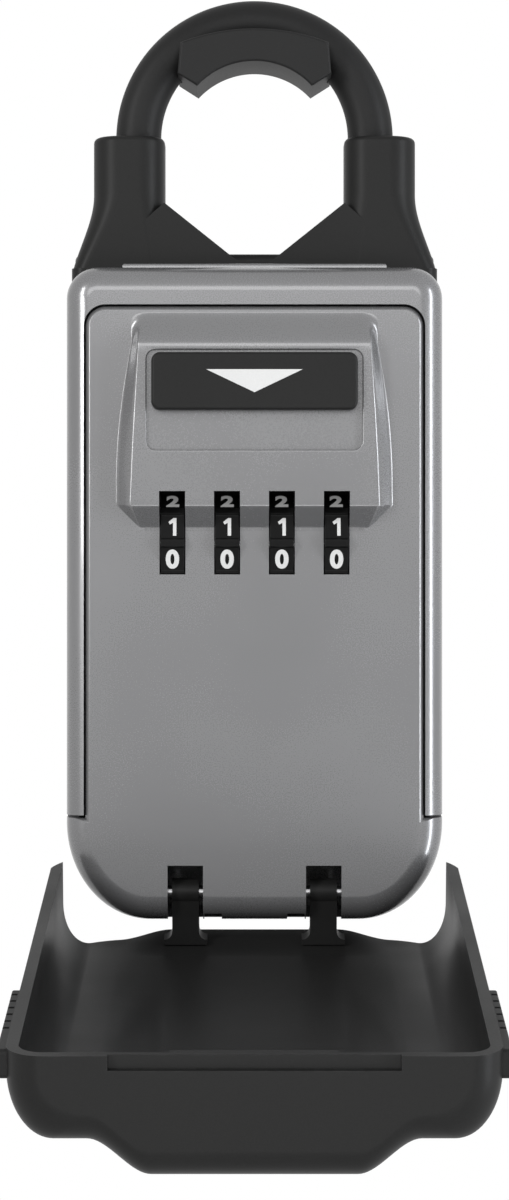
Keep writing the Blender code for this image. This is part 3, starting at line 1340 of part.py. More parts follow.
build_cap()


# Lock plate that slides across the shackle's necks, with its two guide screws

def build_lock():
    bottom = LOCK_TOP - LOCK_THICKNESS
    plate = prism_z(
        rounded_rectangle(
            LOCK_LEFT, LOCK_RIGHT, -LOCK_HALF_DEPTH, LOCK_HALF_DEPTH, LOCK_THICKNESS, ROUNDING_STEPS
        ),
        bottom,
        LOCK_TOP,
    )
    tab = box(
        (-LOCK_TAB_THICKNESS / 2, -LOCK_TAB_HALF_DEPTH, bottom - LOCK_TAB_HEIGHT),
        (LOCK_TAB_THICKNESS / 2, LOCK_TAB_HALF_DEPTH, bottom + OVERLAP),
    )
    round_edges(tab, LOCK_TAB_THICKNESS / 3, 2, lambda middle, _edge: middle.z < bottom - LOCK_TAB_HEIGHT + WELD_DISTANCE)
    plate = join(plate, tab)
    low = bottom - OVERRUN
    high = LOCK_TOP + OVERRUN
    cuts = []
    for side in (-1, 1):
        x = side * LEG_X
        cuts.append(rod((x, 0, low), (x, 0, high), LEG_HOLE_RADIUS))
        cuts.append(prism_z(
            rounded_rectangle(
                x - LOCK_THROW - LOCK_END_PLAY - LOCK_SLOT_HALF, x, -LOCK_SLOT_HALF, LOCK_SLOT_HALF,
                LOCK_SLOT_HALF - WELD_DISTANCE, ROUNDING_STEPS + 1,
            ),
            low,
            high,
        ))
        x = side * GUIDE_SCREW_X
        cuts.append(prism_z(
            rounded_rectangle(
                x - LOCK_THROW - LOCK_END_PLAY - GUIDE_SLOT_HALF, x + GUIDE_SLOT_HALF, -GUIDE_SLOT_HALF, GUIDE_SLOT_HALF,
                GUIDE_SLOT_HALF - WELD_DISTANCE, ROUNDING_STEPS + 1,
            ),
            low,
            high,
        ))
    finish(cut(plate, cuts), "shackle_lock", *ZINC)
    for number, side in ((1, -1), (2, 1)):
        seat = bottom - SEAT_GAP
        length = CAVITY_TOP + GUIDE_SCREW_DEPTH - SEAT_GAP - seat
        finish(screw((side * GUIDE_SCREW_X, 0, seat), (0, 0, 1), length), f"lock_guide_screw_{number}", *STEEL)


build_lock()


# Weather cover: a tray lofted from a flat section at the hinge to a bulged one at the far end.
# It is drawn shut and turned about the hinge axis with its parent.

def cover_point(x, u, w):
    """World place of a point on the shut cover."""
    return (x, HINGE_Y - w, HINGE_Z + u)


def cover_depths(u):
    """Outer depth of the cover's shoulders and of its middle at height u."""
    share = min(max(u, 0), COVER_FAR_U) / COVER_FAR_U
    shoulder = COVER_FLAT_W + (COVER_SHOULDER_W - COVER_FLAT_W) * share
    middle = COVER_FLAT_W + (COVER_BULGE_W - COVER_FLAT_W) * share
    curl = smooth_step((COVER_HINGE_END_U + COVER_CURL_LENGTH - u) / COVER_CURL_LENGTH)
    return shoulder, middle - (COVER_FLAT_W - COVER_CURL_W) * curl


def cover_section(u, inset, rim, draw_in):
    """Half-closed section at height u from rim to rim; draw_in shrinks it towards the far end."""
    shoulder, middle = cover_depths(u)
    shrink = inset + draw_in
    outer = COVER_OUTER_X - shrink
    corner_x = outer - (COVER_OUTER_X - COVER_SHOULDER_HALF)
    half = [(outer, rim)]
    width = max(COVER_OUTER_X - COVER_SHOULDER_HALF - inset, COVER_WALL)
    half += arc(
        outer - width, shoulder - COVER_CORNER_DROP, width, COVER_CORNER_DROP - shrink, 0, 90, CORNER_STEPS - 2
    )
    bulge_foot = min(COVER_BULGE_FOOT, corner_x)
    for i in range(CORNER_STEPS + 1):
        share = i / CORNER_STEPS
        x = bulge_foot + (COVER_BULGE_HALF - bulge_foot) * share
        w = shoulder + (middle - shoulder) * smooth_step(share)
        half.append((x, w - shrink))
    left = [(-x, w) for x, w in reversed(half)]
    return half + left


def cover_form(inset, rim, start_u, end_u, end_radius):
    levels = [(start_u, 0), (COVER_HINGE_END_U, 0)]
    for i in range(1, 4):
        levels.append((COVER_HINGE_END_U + COVER_CURL_LENGTH * i / 3, 0))
    levels.append((COVER_FAR_U / 2, 0))
    for i in range(CORNER_STEPS // 2 + 1):
        angle = math.pi / 2 * i / (CORNER_STEPS // 2) * COVER_END_TURN_SHARE
        levels.append((
            end_u - end_radius + end_radius * math.sin(angle), end_radius * (1 - math.cos(angle))
        ))
    levels.append((end_u, levels[-1][1] + end_radius * (1 - COVER_END_TURN_SHARE)))
    rings = []
    for u, draw_in in levels:
        rings.append([cover_point(x, u, w) for x, w in cover_section(u, inset, rim, draw_in)])
    return loft(rings)


def cover_plan():
    """Outline of the shut cover seen from the front: its hinge end follows the case's lower corners."""
    wide = COVER_OUTER_X + OVERLAP
    high = HINGE_Z + COVER_FAR_U + OVERRUN
    reach_x = wide - COVER_CORNER_CENTRE_X
    centre_z = HINGE_Z + COVER_HINGE_END_U + COVER_CORNER_REACH
    steps = 2 * CORNER_STEPS
    return (
        arc(COVER_CORNER_CENTRE_X, centre_z, reach_x, COVER_CORNER_REACH, -90, 0, steps)
        + [(wide, high), (-wide, high)]
        + arc(-COVER_CORNER_CENTRE_X, centre_z, reach_x, COVER_CORNER_REACH, 180, 270, steps)
    )


def arm_outline(centre):
    """Hinge arm seen from above, in (x, w): straight, with fillets where it meets the floor."""
    half = ARM_WIDTH / 2
    fillet = ARM_FILLET
    level = COVER_CURL_W - COVER_WALL
    right = arc(half + fillet, level - fillet, fillet, fillet, 180, 90, ROUNDING_STEPS + 1)
    deep = level + COVER_WALL / 2
    outline = [(half, 0)] + right + [(half + fillet, deep), (-half - fillet, deep)]
    outline += [(-x, w) for x, w in reversed(right)] + [(-half, 0)]
    return [(centre + x, HINGE_Y - w) for x, w in outline]


def build_cover():
    outer = cover_form(0, COVER_RIM_W, COVER_HINGE_END_U - OVERRUN, COVER_FAR_U, COVER_END_RADIUS)
    inner = cover_form(
        COVER_WALL, COVER_RIM_W - OVERRUN, COVER_HINGE_END_U - 2 * OVERRUN, COVER_FAR_U - COVER_WALL,
        COVER_END_RADIUS - COVER_WALL,
    )
    plan = prism_y(cover_plan(), HINGE_Y - COVER_BULGE_W - OVERRUN, HINGE_Y - COVER_RIM_W + OVERRUN)
    cover = keep(cut(outer, inner), plan)
    parts = []
    for side in (-1, 1):
        x = side * ARM_CENTRE_X
        parts.append(prism_z(
            arm_outline(x), HINGE_Z - ARM_THICKNESS / 2, HINGE_Z + ARM_THICKNESS / 2
        ))
        parts.append(hinge_rod(KNUCKLE_RADIUS, x - ARM_WIDTH / 2, x + ARM_WIDTH / 2))
    inner_end = COVER_FAR_U - COVER_WALL
    low = cover_point(-LIP_HALF_WIDTH, inner_end - LIP_DEPTH, COVER_RIM_W + LIP_HEIGHT)
    high = cover_point(LIP_HALF_WIDTH, inner_end + COVER_WALL / 2, COVER_RIM_W + WELD_DISTANCE)
    lip = box(low, high)
    parts.append(lip)
    cover = join(cover, parts)
    low = cover_point(-NOTCH_HALF_WIDTH, COVER_FAR_U - NOTCH_DEPTH, COVER_RIM_W + NOTCH_HEIGHT)
    high = cover_point(NOTCH_HALF_WIDTH, COVER_FAR_U + OVERRUN, COVER_RIM_W - OVERRUN)
    cuts = [box(low, high)]
    for side in (-1, 1):
        x = side * ARM_CENTRE_X
        cuts.append(hinge_rod(PIN_RADIUS + RUN_GAP, x - ARM_WIDTH, x + ARM_WIDTH))
        floor = side * (COVER_OUTER_X - GRIP_SEAT - SEAT_GAP)
        past = side * (COVER_OUTER_X + GRIP_PROUD + OVERRUN)
        cuts.append(prism_x(grip_outline(SEAT_GAP), min(floor, past), max(floor, past)))
    return finish(cut(cover, cuts), "weather_cover", *BLACK_PLASTIC)


def grip_outline(margin):
    """Side grip in (y, z), grown by a margin."""
    return rounded_rectangle(
        HINGE_Y - GRIP_FRONT_W - margin, HINGE_Y - GRIP_BACK_W + margin,
        HINGE_Z + GRIP_START_U - margin, HINGE_Z + GRIP_END_U + margin, GRIP_CORNER + margin, ROUNDING_STEPS,
    )


def build_grip(name, side):
    inner = side * (COVER_OUTER_X - GRIP_SEAT)
    outer = side * (COVER_OUTER_X + GRIP_PROUD)
    pad = prism_x(grip_outline(0), min(inner, outer), max(inner, outer))
    round_edges(pad, GRIP_PROUD / 4, 1, on_plane(0, outer))
    grooves = []
    for i in range(1, GRIP_RIB_COUNT + 1):
        low = GRIP_START_U + GRIP_RIB_PITCH * i - GRIP_RIB_GAP
        bottom = side * (COVER_OUTER_X + SEAT_GAP)
        past = side * (COVER_OUTER_X + GRIP_PROUD + OVERRUN)
        near = cover_point(min(bottom, past), low, GRIP_FRONT_W + OVERRUN)
        far = cover_point(max(bottom, past), low + GRIP_RIB_GAP, GRIP_BACK_W - OVERRUN)
        grooves.append(box(near, far))
    return finish(cut(pad, grooves), name, *BLACK_RUBBER)


weather_cover = build_cover()
cover_grip_left = build_grip("cover_grip_left", -1)
cover_grip_right = build_grip("cover_grip_right", 1)


# Moving bodies: each hangs from an empty on its joint's axis

def hang(name, pivot, pieces, turn_deg=0):
    """Parent pieces, drawn in world places, to an empty at pivot; turn the empty about X."""
    empty = bpy.data.objects.new(name, None)
    SAFE.objects.link(empty)
    empty.location = pivot
    empty.rotation_euler = (math.radians(turn_deg), 0, 0)
    for piece in pieces:
        obj = bpy.data.objects[piece]
        obj.data.transform(Matrix.Translation(-Vector(pivot)))
        obj.parent = empty
    return empty


HINGE_POINT = (0, HINGE_Y, HINGE_Z)
cover_axis = hang(
    "cover_axis", HINGE_POINT, ["weather_cover", "cover_grip_left", "cover_grip_right"], COVER_OPEN_DEG
)
door_axis = hang(
    "door_axis", HINGE_POINT,
    ["door_shell", "mechanism_plate", "wheel_axle", "detent_spring", "reset_pivot", "opener_spring", "latch_spring"]
    + [f"plate_screw_{i + 1}" for i in range(len(PLATE_SCREW_PLACES))],
)
hang("opener_slide", (0, BUTTON_BACK, OPENER_TOP), ["opener_button", "opener_arrow", "opener_carrier"])
for place_number, wheel_x in enumerate(WHEEL_CENTRES, 1):
    hang(
        f"wheel_axis_{place_number}", (wheel_x, WHEEL_AXIS_Y, WHEEL_AXIS_Z),
        [f"dial_wheel_{place_number}", f"code_hub_{place_number}"],
    )
hang("latch_slide", (0, BOLT_FRONT, BOLT_TOP), ["latch_bolt"])
hang("lever_axis", (LEVER_X, LEVER_FRONT, LEVER_Z), ["reset_lever"])
hang("shackle_slide", (0, 0, 0), ["shackle", "shackle_bumper"])
hang("lock_slide", (0, 0, LOCK_TOP), ["shackle_lock"])
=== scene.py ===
"""Looks of a combination key safe: silver case and door, black cap, shackle, opener and weather cover.

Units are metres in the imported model's frame: X to the right, -Y to the front, +Z up.
"""
import json
import math

import bmesh
import bpy
from mathutils import Matrix, Vector


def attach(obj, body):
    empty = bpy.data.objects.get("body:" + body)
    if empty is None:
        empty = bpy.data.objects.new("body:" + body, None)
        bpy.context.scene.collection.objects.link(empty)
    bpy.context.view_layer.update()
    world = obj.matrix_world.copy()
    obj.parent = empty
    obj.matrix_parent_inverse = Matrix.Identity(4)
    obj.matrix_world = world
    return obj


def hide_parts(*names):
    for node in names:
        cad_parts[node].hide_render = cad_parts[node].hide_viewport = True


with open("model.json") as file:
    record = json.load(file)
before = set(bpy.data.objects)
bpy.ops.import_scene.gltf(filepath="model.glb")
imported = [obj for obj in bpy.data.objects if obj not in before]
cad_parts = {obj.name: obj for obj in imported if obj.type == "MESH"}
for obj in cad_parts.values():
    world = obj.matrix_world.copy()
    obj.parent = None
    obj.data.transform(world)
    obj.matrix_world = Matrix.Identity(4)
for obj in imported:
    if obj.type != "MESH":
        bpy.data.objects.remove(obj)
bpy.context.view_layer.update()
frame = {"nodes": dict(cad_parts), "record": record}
SCENE = bpy.context.scene

# Gaps and fineness
SEAT = 0.0003
OVERRUN = 0.002
OVERLAP = 0.0005
WELD = 0.00001
STEPS = 18                 # points along a large corner
ROUND = 6                  # points along a small rounding
SIDES = 64
TUBE_FINENESS = 12         # bevel resolution of a round bar
FLAT_DEG = 0.3             # faces that meet at less than this become one
SHARP_DEG = 30
SHADING_DEG = 32
SHADING_WEIGHT = 80

# Case and door
HALF = 0.0415
TOP = -0.047
BOTTOM = -0.191
FRONT = -0.022
BACK = 0.022
WALL = 0.0025
TOP_RADIUS = 0.007
CORNER_WIDTH = 0.0185
CORNER_HEIGHT = 0.0215
FRONT_ROUNDING = 0.0055
BACK_ROUNDING = 0.003
FLANGE_DEPTH = 0.006
OPENING_HALF = 0.0375
OPENING_TOP = -0.0556
OPENING_CORNER = 0.0048
FRAME_END = -0.1678
SHOE_BACK = -0.013
HINGE_Y = -0.017
HINGE_Z = -0.185
PIN_RADIUS = 0.00125
PIN_CLEARANCE = 0.0002
PIN_HALF = 0.0236
KNUCKLE = 0.003
SWING_RADIUS = 0.0075
LUG_X = 0.0076
LUG_WIDTH = 0.0031
ARM_X = 0.0152
ARM_WIDTH = 0.0059
SLOT_WIDTH = 0.0078
SLOT_TOP = -0.1788
DOOR_GAP = 0.0003
DOOR_WALL = 0.002
STEP_GAP = 0.0006
LEG_X = 0.0262
BASE_SCREW_X = 0.024
BASE_SCREW_Y = 0.0125
SCREW_HOLE = 0.00155

# Hood, opener and wheels
HOOD_HEIGHT = 0.0038
HOOD_FRONT = FRONT - HOOD_HEIGHT
# half width, low, high and corner radius of the recess and of the opener in it
RECESS = (0.0236, -0.0877, -0.0658, 0.002)
RECESS_DEPTH = 0.0008
OPENER = (0.0225, -0.0791, -0.0665, 0.0019)
OPENER_FRONT = -0.0281
OPENER_BACK = -0.0253
STEM_X = 0.0128
WHEEL_Y = -0.0115
WHEEL_Z = -0.108
WHEEL_RADIUS = 0.01227
WHEEL_WIDTH = 0.0053
WINDOW_WIDTH = 0.0057
WINDOW_TOP = -0.0967
WINDOW_BOTTOM = -0.1147
WHEEL_CENTRES = (-0.018, -0.006, 0.006, 0.018)

FACING = Matrix.Rotation(math.radians(90), 4, "X")
ALONG_X = Matrix(((0, 0, 1, 0), (1, 0, 0, 0), (0, 1, 0, 0), (0, 0, 0, 1)))
UPRIGHT = Matrix.Identity(4)


# Mesh tools

def add_mesh(mesh, name="shape"):
    obj = bpy.data.objects.new(name, mesh)
    SCENE.collection.objects.link(obj)
    return obj


def made_real(obj):
    """A plain mesh object with every modifier or curve of obj applied; obj is removed."""
    bpy.context.view_layer.update()
    graph = bpy.context.evaluated_depsgraph_get()
    mesh = bpy.data.meshes.new_from_object(obj.evaluated_get(graph), depsgraph=graph)
    copy = add_mesh(mesh, obj.name)
    copy.matrix_world = obj.matrix_world.copy()
    bpy.data.objects.remove(obj, do_unlink=True)
    return copy


def weld(obj):
    shape = bmesh.new()
    shape.from_mesh(obj.data)
    bmesh.ops.remove_doubles(shape, verts=shape.verts, dist=WELD)
    bmesh.ops.dissolve_limit(shape, angle_limit=math.radians(FLAT_DEG), verts=shape.verts, edges=shape.edges)
    bmesh.ops.recalc_face_normals(shape, faces=shape.faces)
    shape.to_mesh(obj.data)
    shape.free()
    return obj


def prism(outline, start, end, axes):
    """A flat outline pushed from start to end along the third direction of axes."""
    curve = bpy.data.curves.new("outline", "CURVE")
    curve.dimensions = "2D"
    curve.fill_mode = "BOTH"
    curve.extrude = abs(end - start) / 2
    spline = curve.splines.new("POLY")
    spline.points.add(len(outline) - 1)
    for point, (x, y) in zip(spline.points, outline):
        point.co = (x, y, 0, 1)
    spline.use_cyclic_u = True
    obj = bpy.data.objects.new("prism", curve)
    SCENE.collection.objects.link(obj)
    solid = weld(made_real(obj))
    solid.data.transform(axes @ Matrix.Translation((0, 0, (start + end) / 2)))
    return solid


def prism_y(outline, front, back):
    return prism(outline, -back, -front, FACING)


def prism_x(outline, left, right):
    return prism(outline, min(left, right), max(left, right), ALONG_X)


def prism_z(outline, low, high):
    return prism(outline, low, high, UPRIGHT)


def box(low, high):
    shape = bmesh.new()
    bmesh.ops.create_cube(shape, size=1)
    mesh = bpy.data.meshes.new("box")
    shape.to_mesh(mesh)
    shape.free()
    size = [abs(b - a) for a, b in zip(low, high)]
    mesh.transform(Matrix.Translation((Vector(high) + Vector(low)) / 2) @ Matrix.Diagonal((*size, 1)))
    return add_mesh(mesh)


def rod(start, end, radius, sides=SIDES):
    line = Vector(end) - Vector(start)
    shape = bmesh.new()
    bmesh.ops.create_cone(
        shape, cap_ends=True, segments=sides, radius1=radius, radius2=radius, depth=line.length
    )
    mesh = bpy.data.meshes.new("rod")
    shape.to_mesh(mesh)
    shape.free()
    aim = Vector((0, 0, 1)).rotation_difference(line).to_matrix().to_4x4()
    mesh.transform(Matrix.Translation((Vector(start) + Vector(end)) / 2) @ aim)
    return add_mesh(mesh)


def combine(target, tools, operation):
    """Boolean the tools onto target in order, make the result real and remove the tools."""
    tools = tools if isinstance(tools, (list, tuple)) else [tools]
    for tool in tools:
        step = target.modifiers.new("step", "BOOLEAN")
        step.operation = operation
        step.solver = "EXACT"
        step.object = tool
    target = made_real(target)
    for tool in tools:
        bpy.data.objects.remove(tool, do_unlink=True)
    return target


def cut(target, tools):
    return combine(target, tools, "DIFFERENCE")


def join(target, tools):
    return combine(target, tools, "UNION")


def keep(target, tools):
    return combine(target, tools, "INTERSECT")


def round_edges(obj, radius, steps, chosen):
    shape = bmesh.new()
    shape.from_mesh(obj.data)
    edges = [e for e in shape.edges if chosen((e.verts[0].co + e.verts[1].co) / 2, e)]
    bmesh.ops.bevel(
        shape, geom=edges, offset=radius, offset_type="OFFSET", segments=steps, profile=0.5,
        affect="EDGES", clamp_overlap=True,
    )
    shape.to_mesh(obj.data)
    shape.free()
    return obj


def on_plane(axis, value):
    def chosen(_middle, edge):
        return all(abs(v.co[axis] - value) < WELD for v in edge.verts)
    return chosen


def sharp(edge, limit_deg=SHARP_DEG):
    """True where two faces meet at more than the limit."""
    return len(edge.link_faces) == 2 and edge.calc_face_angle(0) > math.radians(limit_deg)


def arc(centre_x, centre_z, radius_x, radius_z, start_deg, end_deg, steps=STEPS):
    points = []
    for i in range(steps + 1):
        angle = math.radians(start_deg + (end_deg - start_deg) * i / steps)
        points.append((centre_x + radius_x * math.cos(angle), centre_z + radius_z * math.sin(angle)))
    return points


def rounded_rectangle(left, right, bottom, top, radius, steps=STEPS):
    return (
        arc(right - radius, bottom + radius, radius, radius, -90, 0, steps)
        + arc(right - radius, top - radius, radius, radius, 0, 90, steps)
        + arc(left + radius, top - radius, radius, radius, 90, 180, steps)
        + arc(left + radius, bottom + radius, radius, radius, 180, 270, steps)
    )


def case_outline(inset):
    half = HALF - inset
    wide = CORNER_WIDTH - inset
    tall = CORNER_HEIGHT - inset
    radius = TOP_RADIUS - inset
    low = BOTTOM + inset
    high = TOP - inset
    return (
        arc(half - wide, low + tall, wide, tall, -90, 0, 2 * STEPS)
        + arc(half - radius, high - radius, radius, radius, 0, 90)
        + arc(radius - half, high - radius, radius, radius, 90, 180)
        + arc(wide - half, low + tall, wide, tall, 180, 270, 2 * STEPS)
    )


def loft(rings):
    """A closed solid through rings of equal length."""
    shape = bmesh.new()
    rows = [[shape.verts.new(point) for point in ring] for ring in rings]
    count = len(rings[0])
    for near, far in zip(rows, rows[1:]):
        for i in range(count):
            j = (i + 1) % count
            shape.faces.new((near[i], near[j], far[j], far[i]))
    shape.faces.new(rows[0])
    shape.faces.new(rows[-1])
    bmesh.ops.recalc_face_normals(shape, faces=shape.faces)
    mesh = bpy.data.meshes.new("loft")
    shape.to_mesh(mesh)
    shape.free()
    return add_mesh(mesh)


def mirrored(obj):
    mesh = obj.data.copy()
    mesh.transform(Matrix.Scale(-1, 4, (1, 0, 0)))
    mesh.flip_normals()
    return add_mesh(mesh)


def tube(points, radius):
    """A round bar along points in (x, z)."""
    curve = bpy.data.curves.new("tube", "CURVE")
    curve.dimensions = "3D"
    curve.bevel_depth = radius
    curve.bevel_resolution = TUBE_FINENESS
    curve.use_fill_caps = True
    spline = curve.splines.new("POLY")
    spline.points.add(len(points) - 1)
    for point, (x, z) in zip(spline.points, points):
        point.co = (x, 0, z, 1)
    obj = bpy.data.objects.new("tube", curve)
    SCENE.collection.objects.link(obj)
    return weld(made_real(obj))


# Materials

NOISE_BAND = (0.3, 0.7)    # the part of a noise's range that is used
ROUGHNESS_PATCH = 0.04
ROUGHNESS_FLECK = 0.03
COAT_ROUGHNESS = 0.07
WORN_TURN = (0.97, 0.8)    # cosine between rounded and true normal, from no wear to full wear
WORN_SCALE = 420.0
WORN_BAND = (0.42, 0.62)
WORN_POLISH = 0.08
RIPPLE_SCALE = 260.0
RIPPLE_DEPTH = 0.0002


def link(tree, source, socket):
    tree.links.new(source, socket)


def add_node(tree, kind, **values):
    node = tree.nodes.new(kind)
    for name, value in values.items():
        setattr(node, name, value)
    return node


def noise(tree, coords, scale, detail=3.0, rough=0.5):
    node = add_node(tree, "ShaderNodeTexNoise")
    node.inputs["Scale"].default_value = scale
    node.inputs["Detail"].default_value = detail
    node.inputs["Roughness"].default_value = rough
    link(tree, coords, node.inputs["Vector"])
    return node.outputs["Fac"]


def ramp(tree, factor, low, high, low_value, high_value):
    """Map a range of factor to a range of values."""
    node = add_node(tree, "ShaderNodeMapRange")
    for name, value in zip(("From Min", "From Max", "To Min", "To Max"), (low, high, low_value, high_value)):
        node.inputs[name].default_value = value
    link(tree, factor, node.inputs["Value"])
    return node.outputs["Result"]


def maths(tree, operation, a, b):
    node = add_node(tree, "ShaderNodeMath", operation=operation)
    for socket, value in zip(node.inputs, (a, b)):
        if isinstance(value, (int, float)):
            socket.default_value = value
        else:
            link(tree, value, socket)
    return node.outputs[0]


def mixed(tree, factor, colour_a, colour_b, mode="MIX"):
    node = add_node(tree, "ShaderNodeMix", data_type="RGBA", blend_type=mode)
    for index, value in ((0, factor), (6, colour_a), (7, colour_b)):
        socket = node.inputs[index]
        if isinstance(value, (int, float)):
            socket.default_value = value
        elif isinstance(value, tuple):
            socket.default_value = (*value, 1)
        else:
            link(tree, value, socket)
    return node.outputs[2]


def surface(
    name, colour, roughness, metallic=0.0, spread=0.08, patch_scale=28.0, fleck_scale=3500.0, fleck=0.1,
    grain_scale=3000.0, grain_depth=0.00002, grain_strength=0.2, ripple=0.0, worn=None, worn_share=0.5,
    edge=0.0005, coat=0.0, stretch=(1, 1, 1), specular=0.5, glow=0.0,
):
    """A Principled material with patches, flecks, grain, ripple and worn edges, all from noise, and an
    optional glow, which is painted light given off as emission.
    """
    material = bpy.data.materials.new(name)
    material.use_nodes = True
    tree = material.node_tree
    shader = tree.nodes["Principled BSDF"]
    shader.inputs["Metallic"].default_value = metallic
    shader.inputs["Coat Weight"].default_value = coat
    shader.inputs["Coat Roughness"].default_value = COAT_ROUGHNESS
    shader.inputs["Specular IOR Level"].default_value = specular
    # glow is painted light: a faint white emission that brightens the surface in shade, though it is no lamp
    shader.inputs["Emission Color"].default_value = (1, 1, 1, 1)
    shader.inputs["Emission Strength"].default_value = glow
    place = add_node(tree, "ShaderNodeTexCoord").outputs["Object"]
    mapping = add_node(tree, "ShaderNodeMapping")
    mapping.inputs["Scale"].default_value = stretch
    link(tree, place, mapping.inputs["Vector"])
    along = mapping.outputs["Vector"]
    patches = noise(tree, place, patch_scale, 2.0)
    flecks = noise(tree, along, fleck_scale, 2.0, 0.7)
    dark = tuple(c * (1 - spread) for c in colour)
    light = tuple(c * (1 + spread) for c in colour)
    tone = mixed(tree, ramp(tree, patches, *NOISE_BAND, 0, 1), dark, light)
    fleck_tone = ramp(tree, flecks, *NOISE_BAND, 1 - fleck, 1 + fleck)
    tinted = add_node(tree, "ShaderNodeVectorMath", operation="SCALE")
    link(tree, tone, tinted.inputs[0])
    link(tree, fleck_tone, tinted.inputs["Scale"])
    base = tinted.outputs[0]
    rough = maths(
        tree, "ADD",
        ramp(tree, patches, *NOISE_BAND, roughness - ROUGHNESS_PATCH, roughness + ROUGHNESS_PATCH),
        ramp(tree, flecks, *NOISE_BAND, -ROUGHNESS_FLECK, ROUGHNESS_FLECK),
    )
    if worn is not None:
        bevel = add_node(tree, "ShaderNodeBevel", samples=4)
        bevel.inputs["Radius"].default_value = edge
        geometry = add_node(tree, "ShaderNodeNewGeometry")
        dot = add_node(tree, "ShaderNodeVectorMath", operation="DOT_PRODUCT")
        link(tree, bevel.outputs[0], dot.inputs[0])
        link(tree, geometry.outputs["Normal"], dot.inputs[1])
        turned = ramp(tree, dot.outputs["Value"], *WORN_TURN, 0, 1)
        scratched = ramp(tree, noise(tree, place, WORN_SCALE, 4.0), *WORN_BAND, 0, worn_share)
        wear = maths(tree, "MULTIPLY", turned, scratched)
        base = mixed(tree, wear, base, worn)
        rough = maths(tree, "SUBTRACT", rough, maths(tree, "MULTIPLY", wear, WORN_POLISH))
    link(tree, base, shader.inputs["Base Color"])
    link(tree, rough, shader.inputs["Roughness"])
    bump = add_node(tree, "ShaderNodeBump")
    bump.inputs["Strength"].default_value = grain_strength
    bump.inputs["Distance"].default_value = grain_depth
    link(tree, noise(tree, along, grain_scale, 3.0, 0.6), bump.inputs["Height"])
    if ripple:
        slow = add_node(tree, "ShaderNodeBump")
        slow.inputs["Strength"].default_value = ripple
        slow.inputs["Distance"].default_value = RIPPLE_DEPTH
        link(tree, noise(tree, place, RIPPLE_SCALE, 1.0), slow.inputs["Height"])
        link(tree, slow.outputs["Normal"], bump.inputs["Normal"])
    link(tree, bump.outputs["Normal"], shader.inputs["Normal"])
    return material


MATERIALS = {
    "silver_paint": surface(
        "silver_paint", (0.165, 0.165, 0.168), 0.27, metallic=0.45, spread=0.01, fleck=0.025,
        grain_depth=0.00001, grain_strength=0.03, ripple=0.002, worn=(0.26, 0.26, 0.26), worn_share=0.25,
        coat=0.45, specular=0.2,
    ),
    "zinc": surface(
        "zinc", (0.3, 0.3, 0.31), 0.5, metallic=0.8, fleck=0.15, ripple=0.05, worn=(0.5, 0.5, 0.5)
    ),
    "steel": surface(
        "steel", (0.55, 0.55, 0.56), 0.3, metallic=1.0, fleck=0.12, stretch=(0.1, 1, 1),
        worn=(0.7, 0.7, 0.7),
    ),
    "black_plastic": surface(
        "black_plastic", (0.012, 0.012, 0.0118), 0.42, spread=0.08, fleck=0.12, grain_scale=2600.0,
        grain_depth=0.00004, grain_strength=0.25, ripple=0.02, worn=(0.04, 0.04, 0.04), worn_share=0.3,
        specular=0.1,
    ),
    "black_rubber": surface(
        "black_rubber", (0.01, 0.01, 0.01), 0.5, spread=0.1, fleck=0.15, grain_scale=2000.0,
        grain_depth=0.00005, grain_strength=0.25, ripple=0.03, worn=(0.035, 0.035, 0.035), worn_share=0.3,
        specular=0.14,
    ),
    "wheel_black": surface(
        "wheel_black", (0.006, 0.006, 0.006), 0.32, spread=0.1, grain_strength=0.08, ripple=0.01,
        worn=(0.03, 0.03, 0.03), worn_share=0.3, edge=0.0003, specular=0.07,
    ),
    "white_mark": surface(
        "white_mark", (0.42, 0.42, 0.415), 0.5, spread=0.03, fleck=0.04, grain_strength=0.1, specular=0.1,
        # painted light: the digits and arrow glow faintly so that they stay bright in the shade of the
        # windows
        glow=0.14,
    ),
}


def dress(obj, name, body, slot, *nodes):
    """Finish a piece: name, shading, material, body and the CAD nodes that it stands for."""
    obj.name = name
    obj.data.name = name
    obj.data.materials.clear()
    obj.data.materials.append(MATERIALS[slot])
    obj.data.shade_smooth()
    obj.data.set_sharp_from_angle(angle=math.radians(SHADING_DEG))
    level = obj.modifiers.new("even_shading", "WEIGHTED_NORMAL")
    level.keep_sharp = True
    level.weight = SHADING_WEIGHT
    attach(obj, body)
    if nodes:
        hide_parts(*nodes)
    return obj


# Case

RIB_HALF = 0.0293
RIB_FRONT = -0.014
RIB_BACK = -0.011
RIB_HEIGHT = 0.0012
RIB_ROUNDING = 0.0005
SHOE_CLEARANCE = 0.0004
LUG_REACH = 0.0068         # from the hinge axis back to the lug's foot
LUG_FOOT = 0.0036
TONGUE_REACH = 0.0002
LEG_HOLE = 0.0055
GUIDE_SCREW_X = 0.011
GUIDE_SCREW_DEPTH = 0.0018
DOORWAY_ROUNDING = 0.00035


def hinge_rod(radius, left, right):
    return rod((left, HINGE_Y, HINGE_Z), (right, HINGE_Y, HINGE_Z), radius)


def post(x, y, low, high, radius, sides=SIDES):
    return rod((x, y, low), (x, y, high), radius, sides)


def doorway_edge(middle, edge):
    inside = abs(middle.x) < OPENING_HALF + WELD and middle.z < OPENING_TOP + WELD
    return on_plane(1, FRONT)(middle, edge) and inside and sharp(edge)


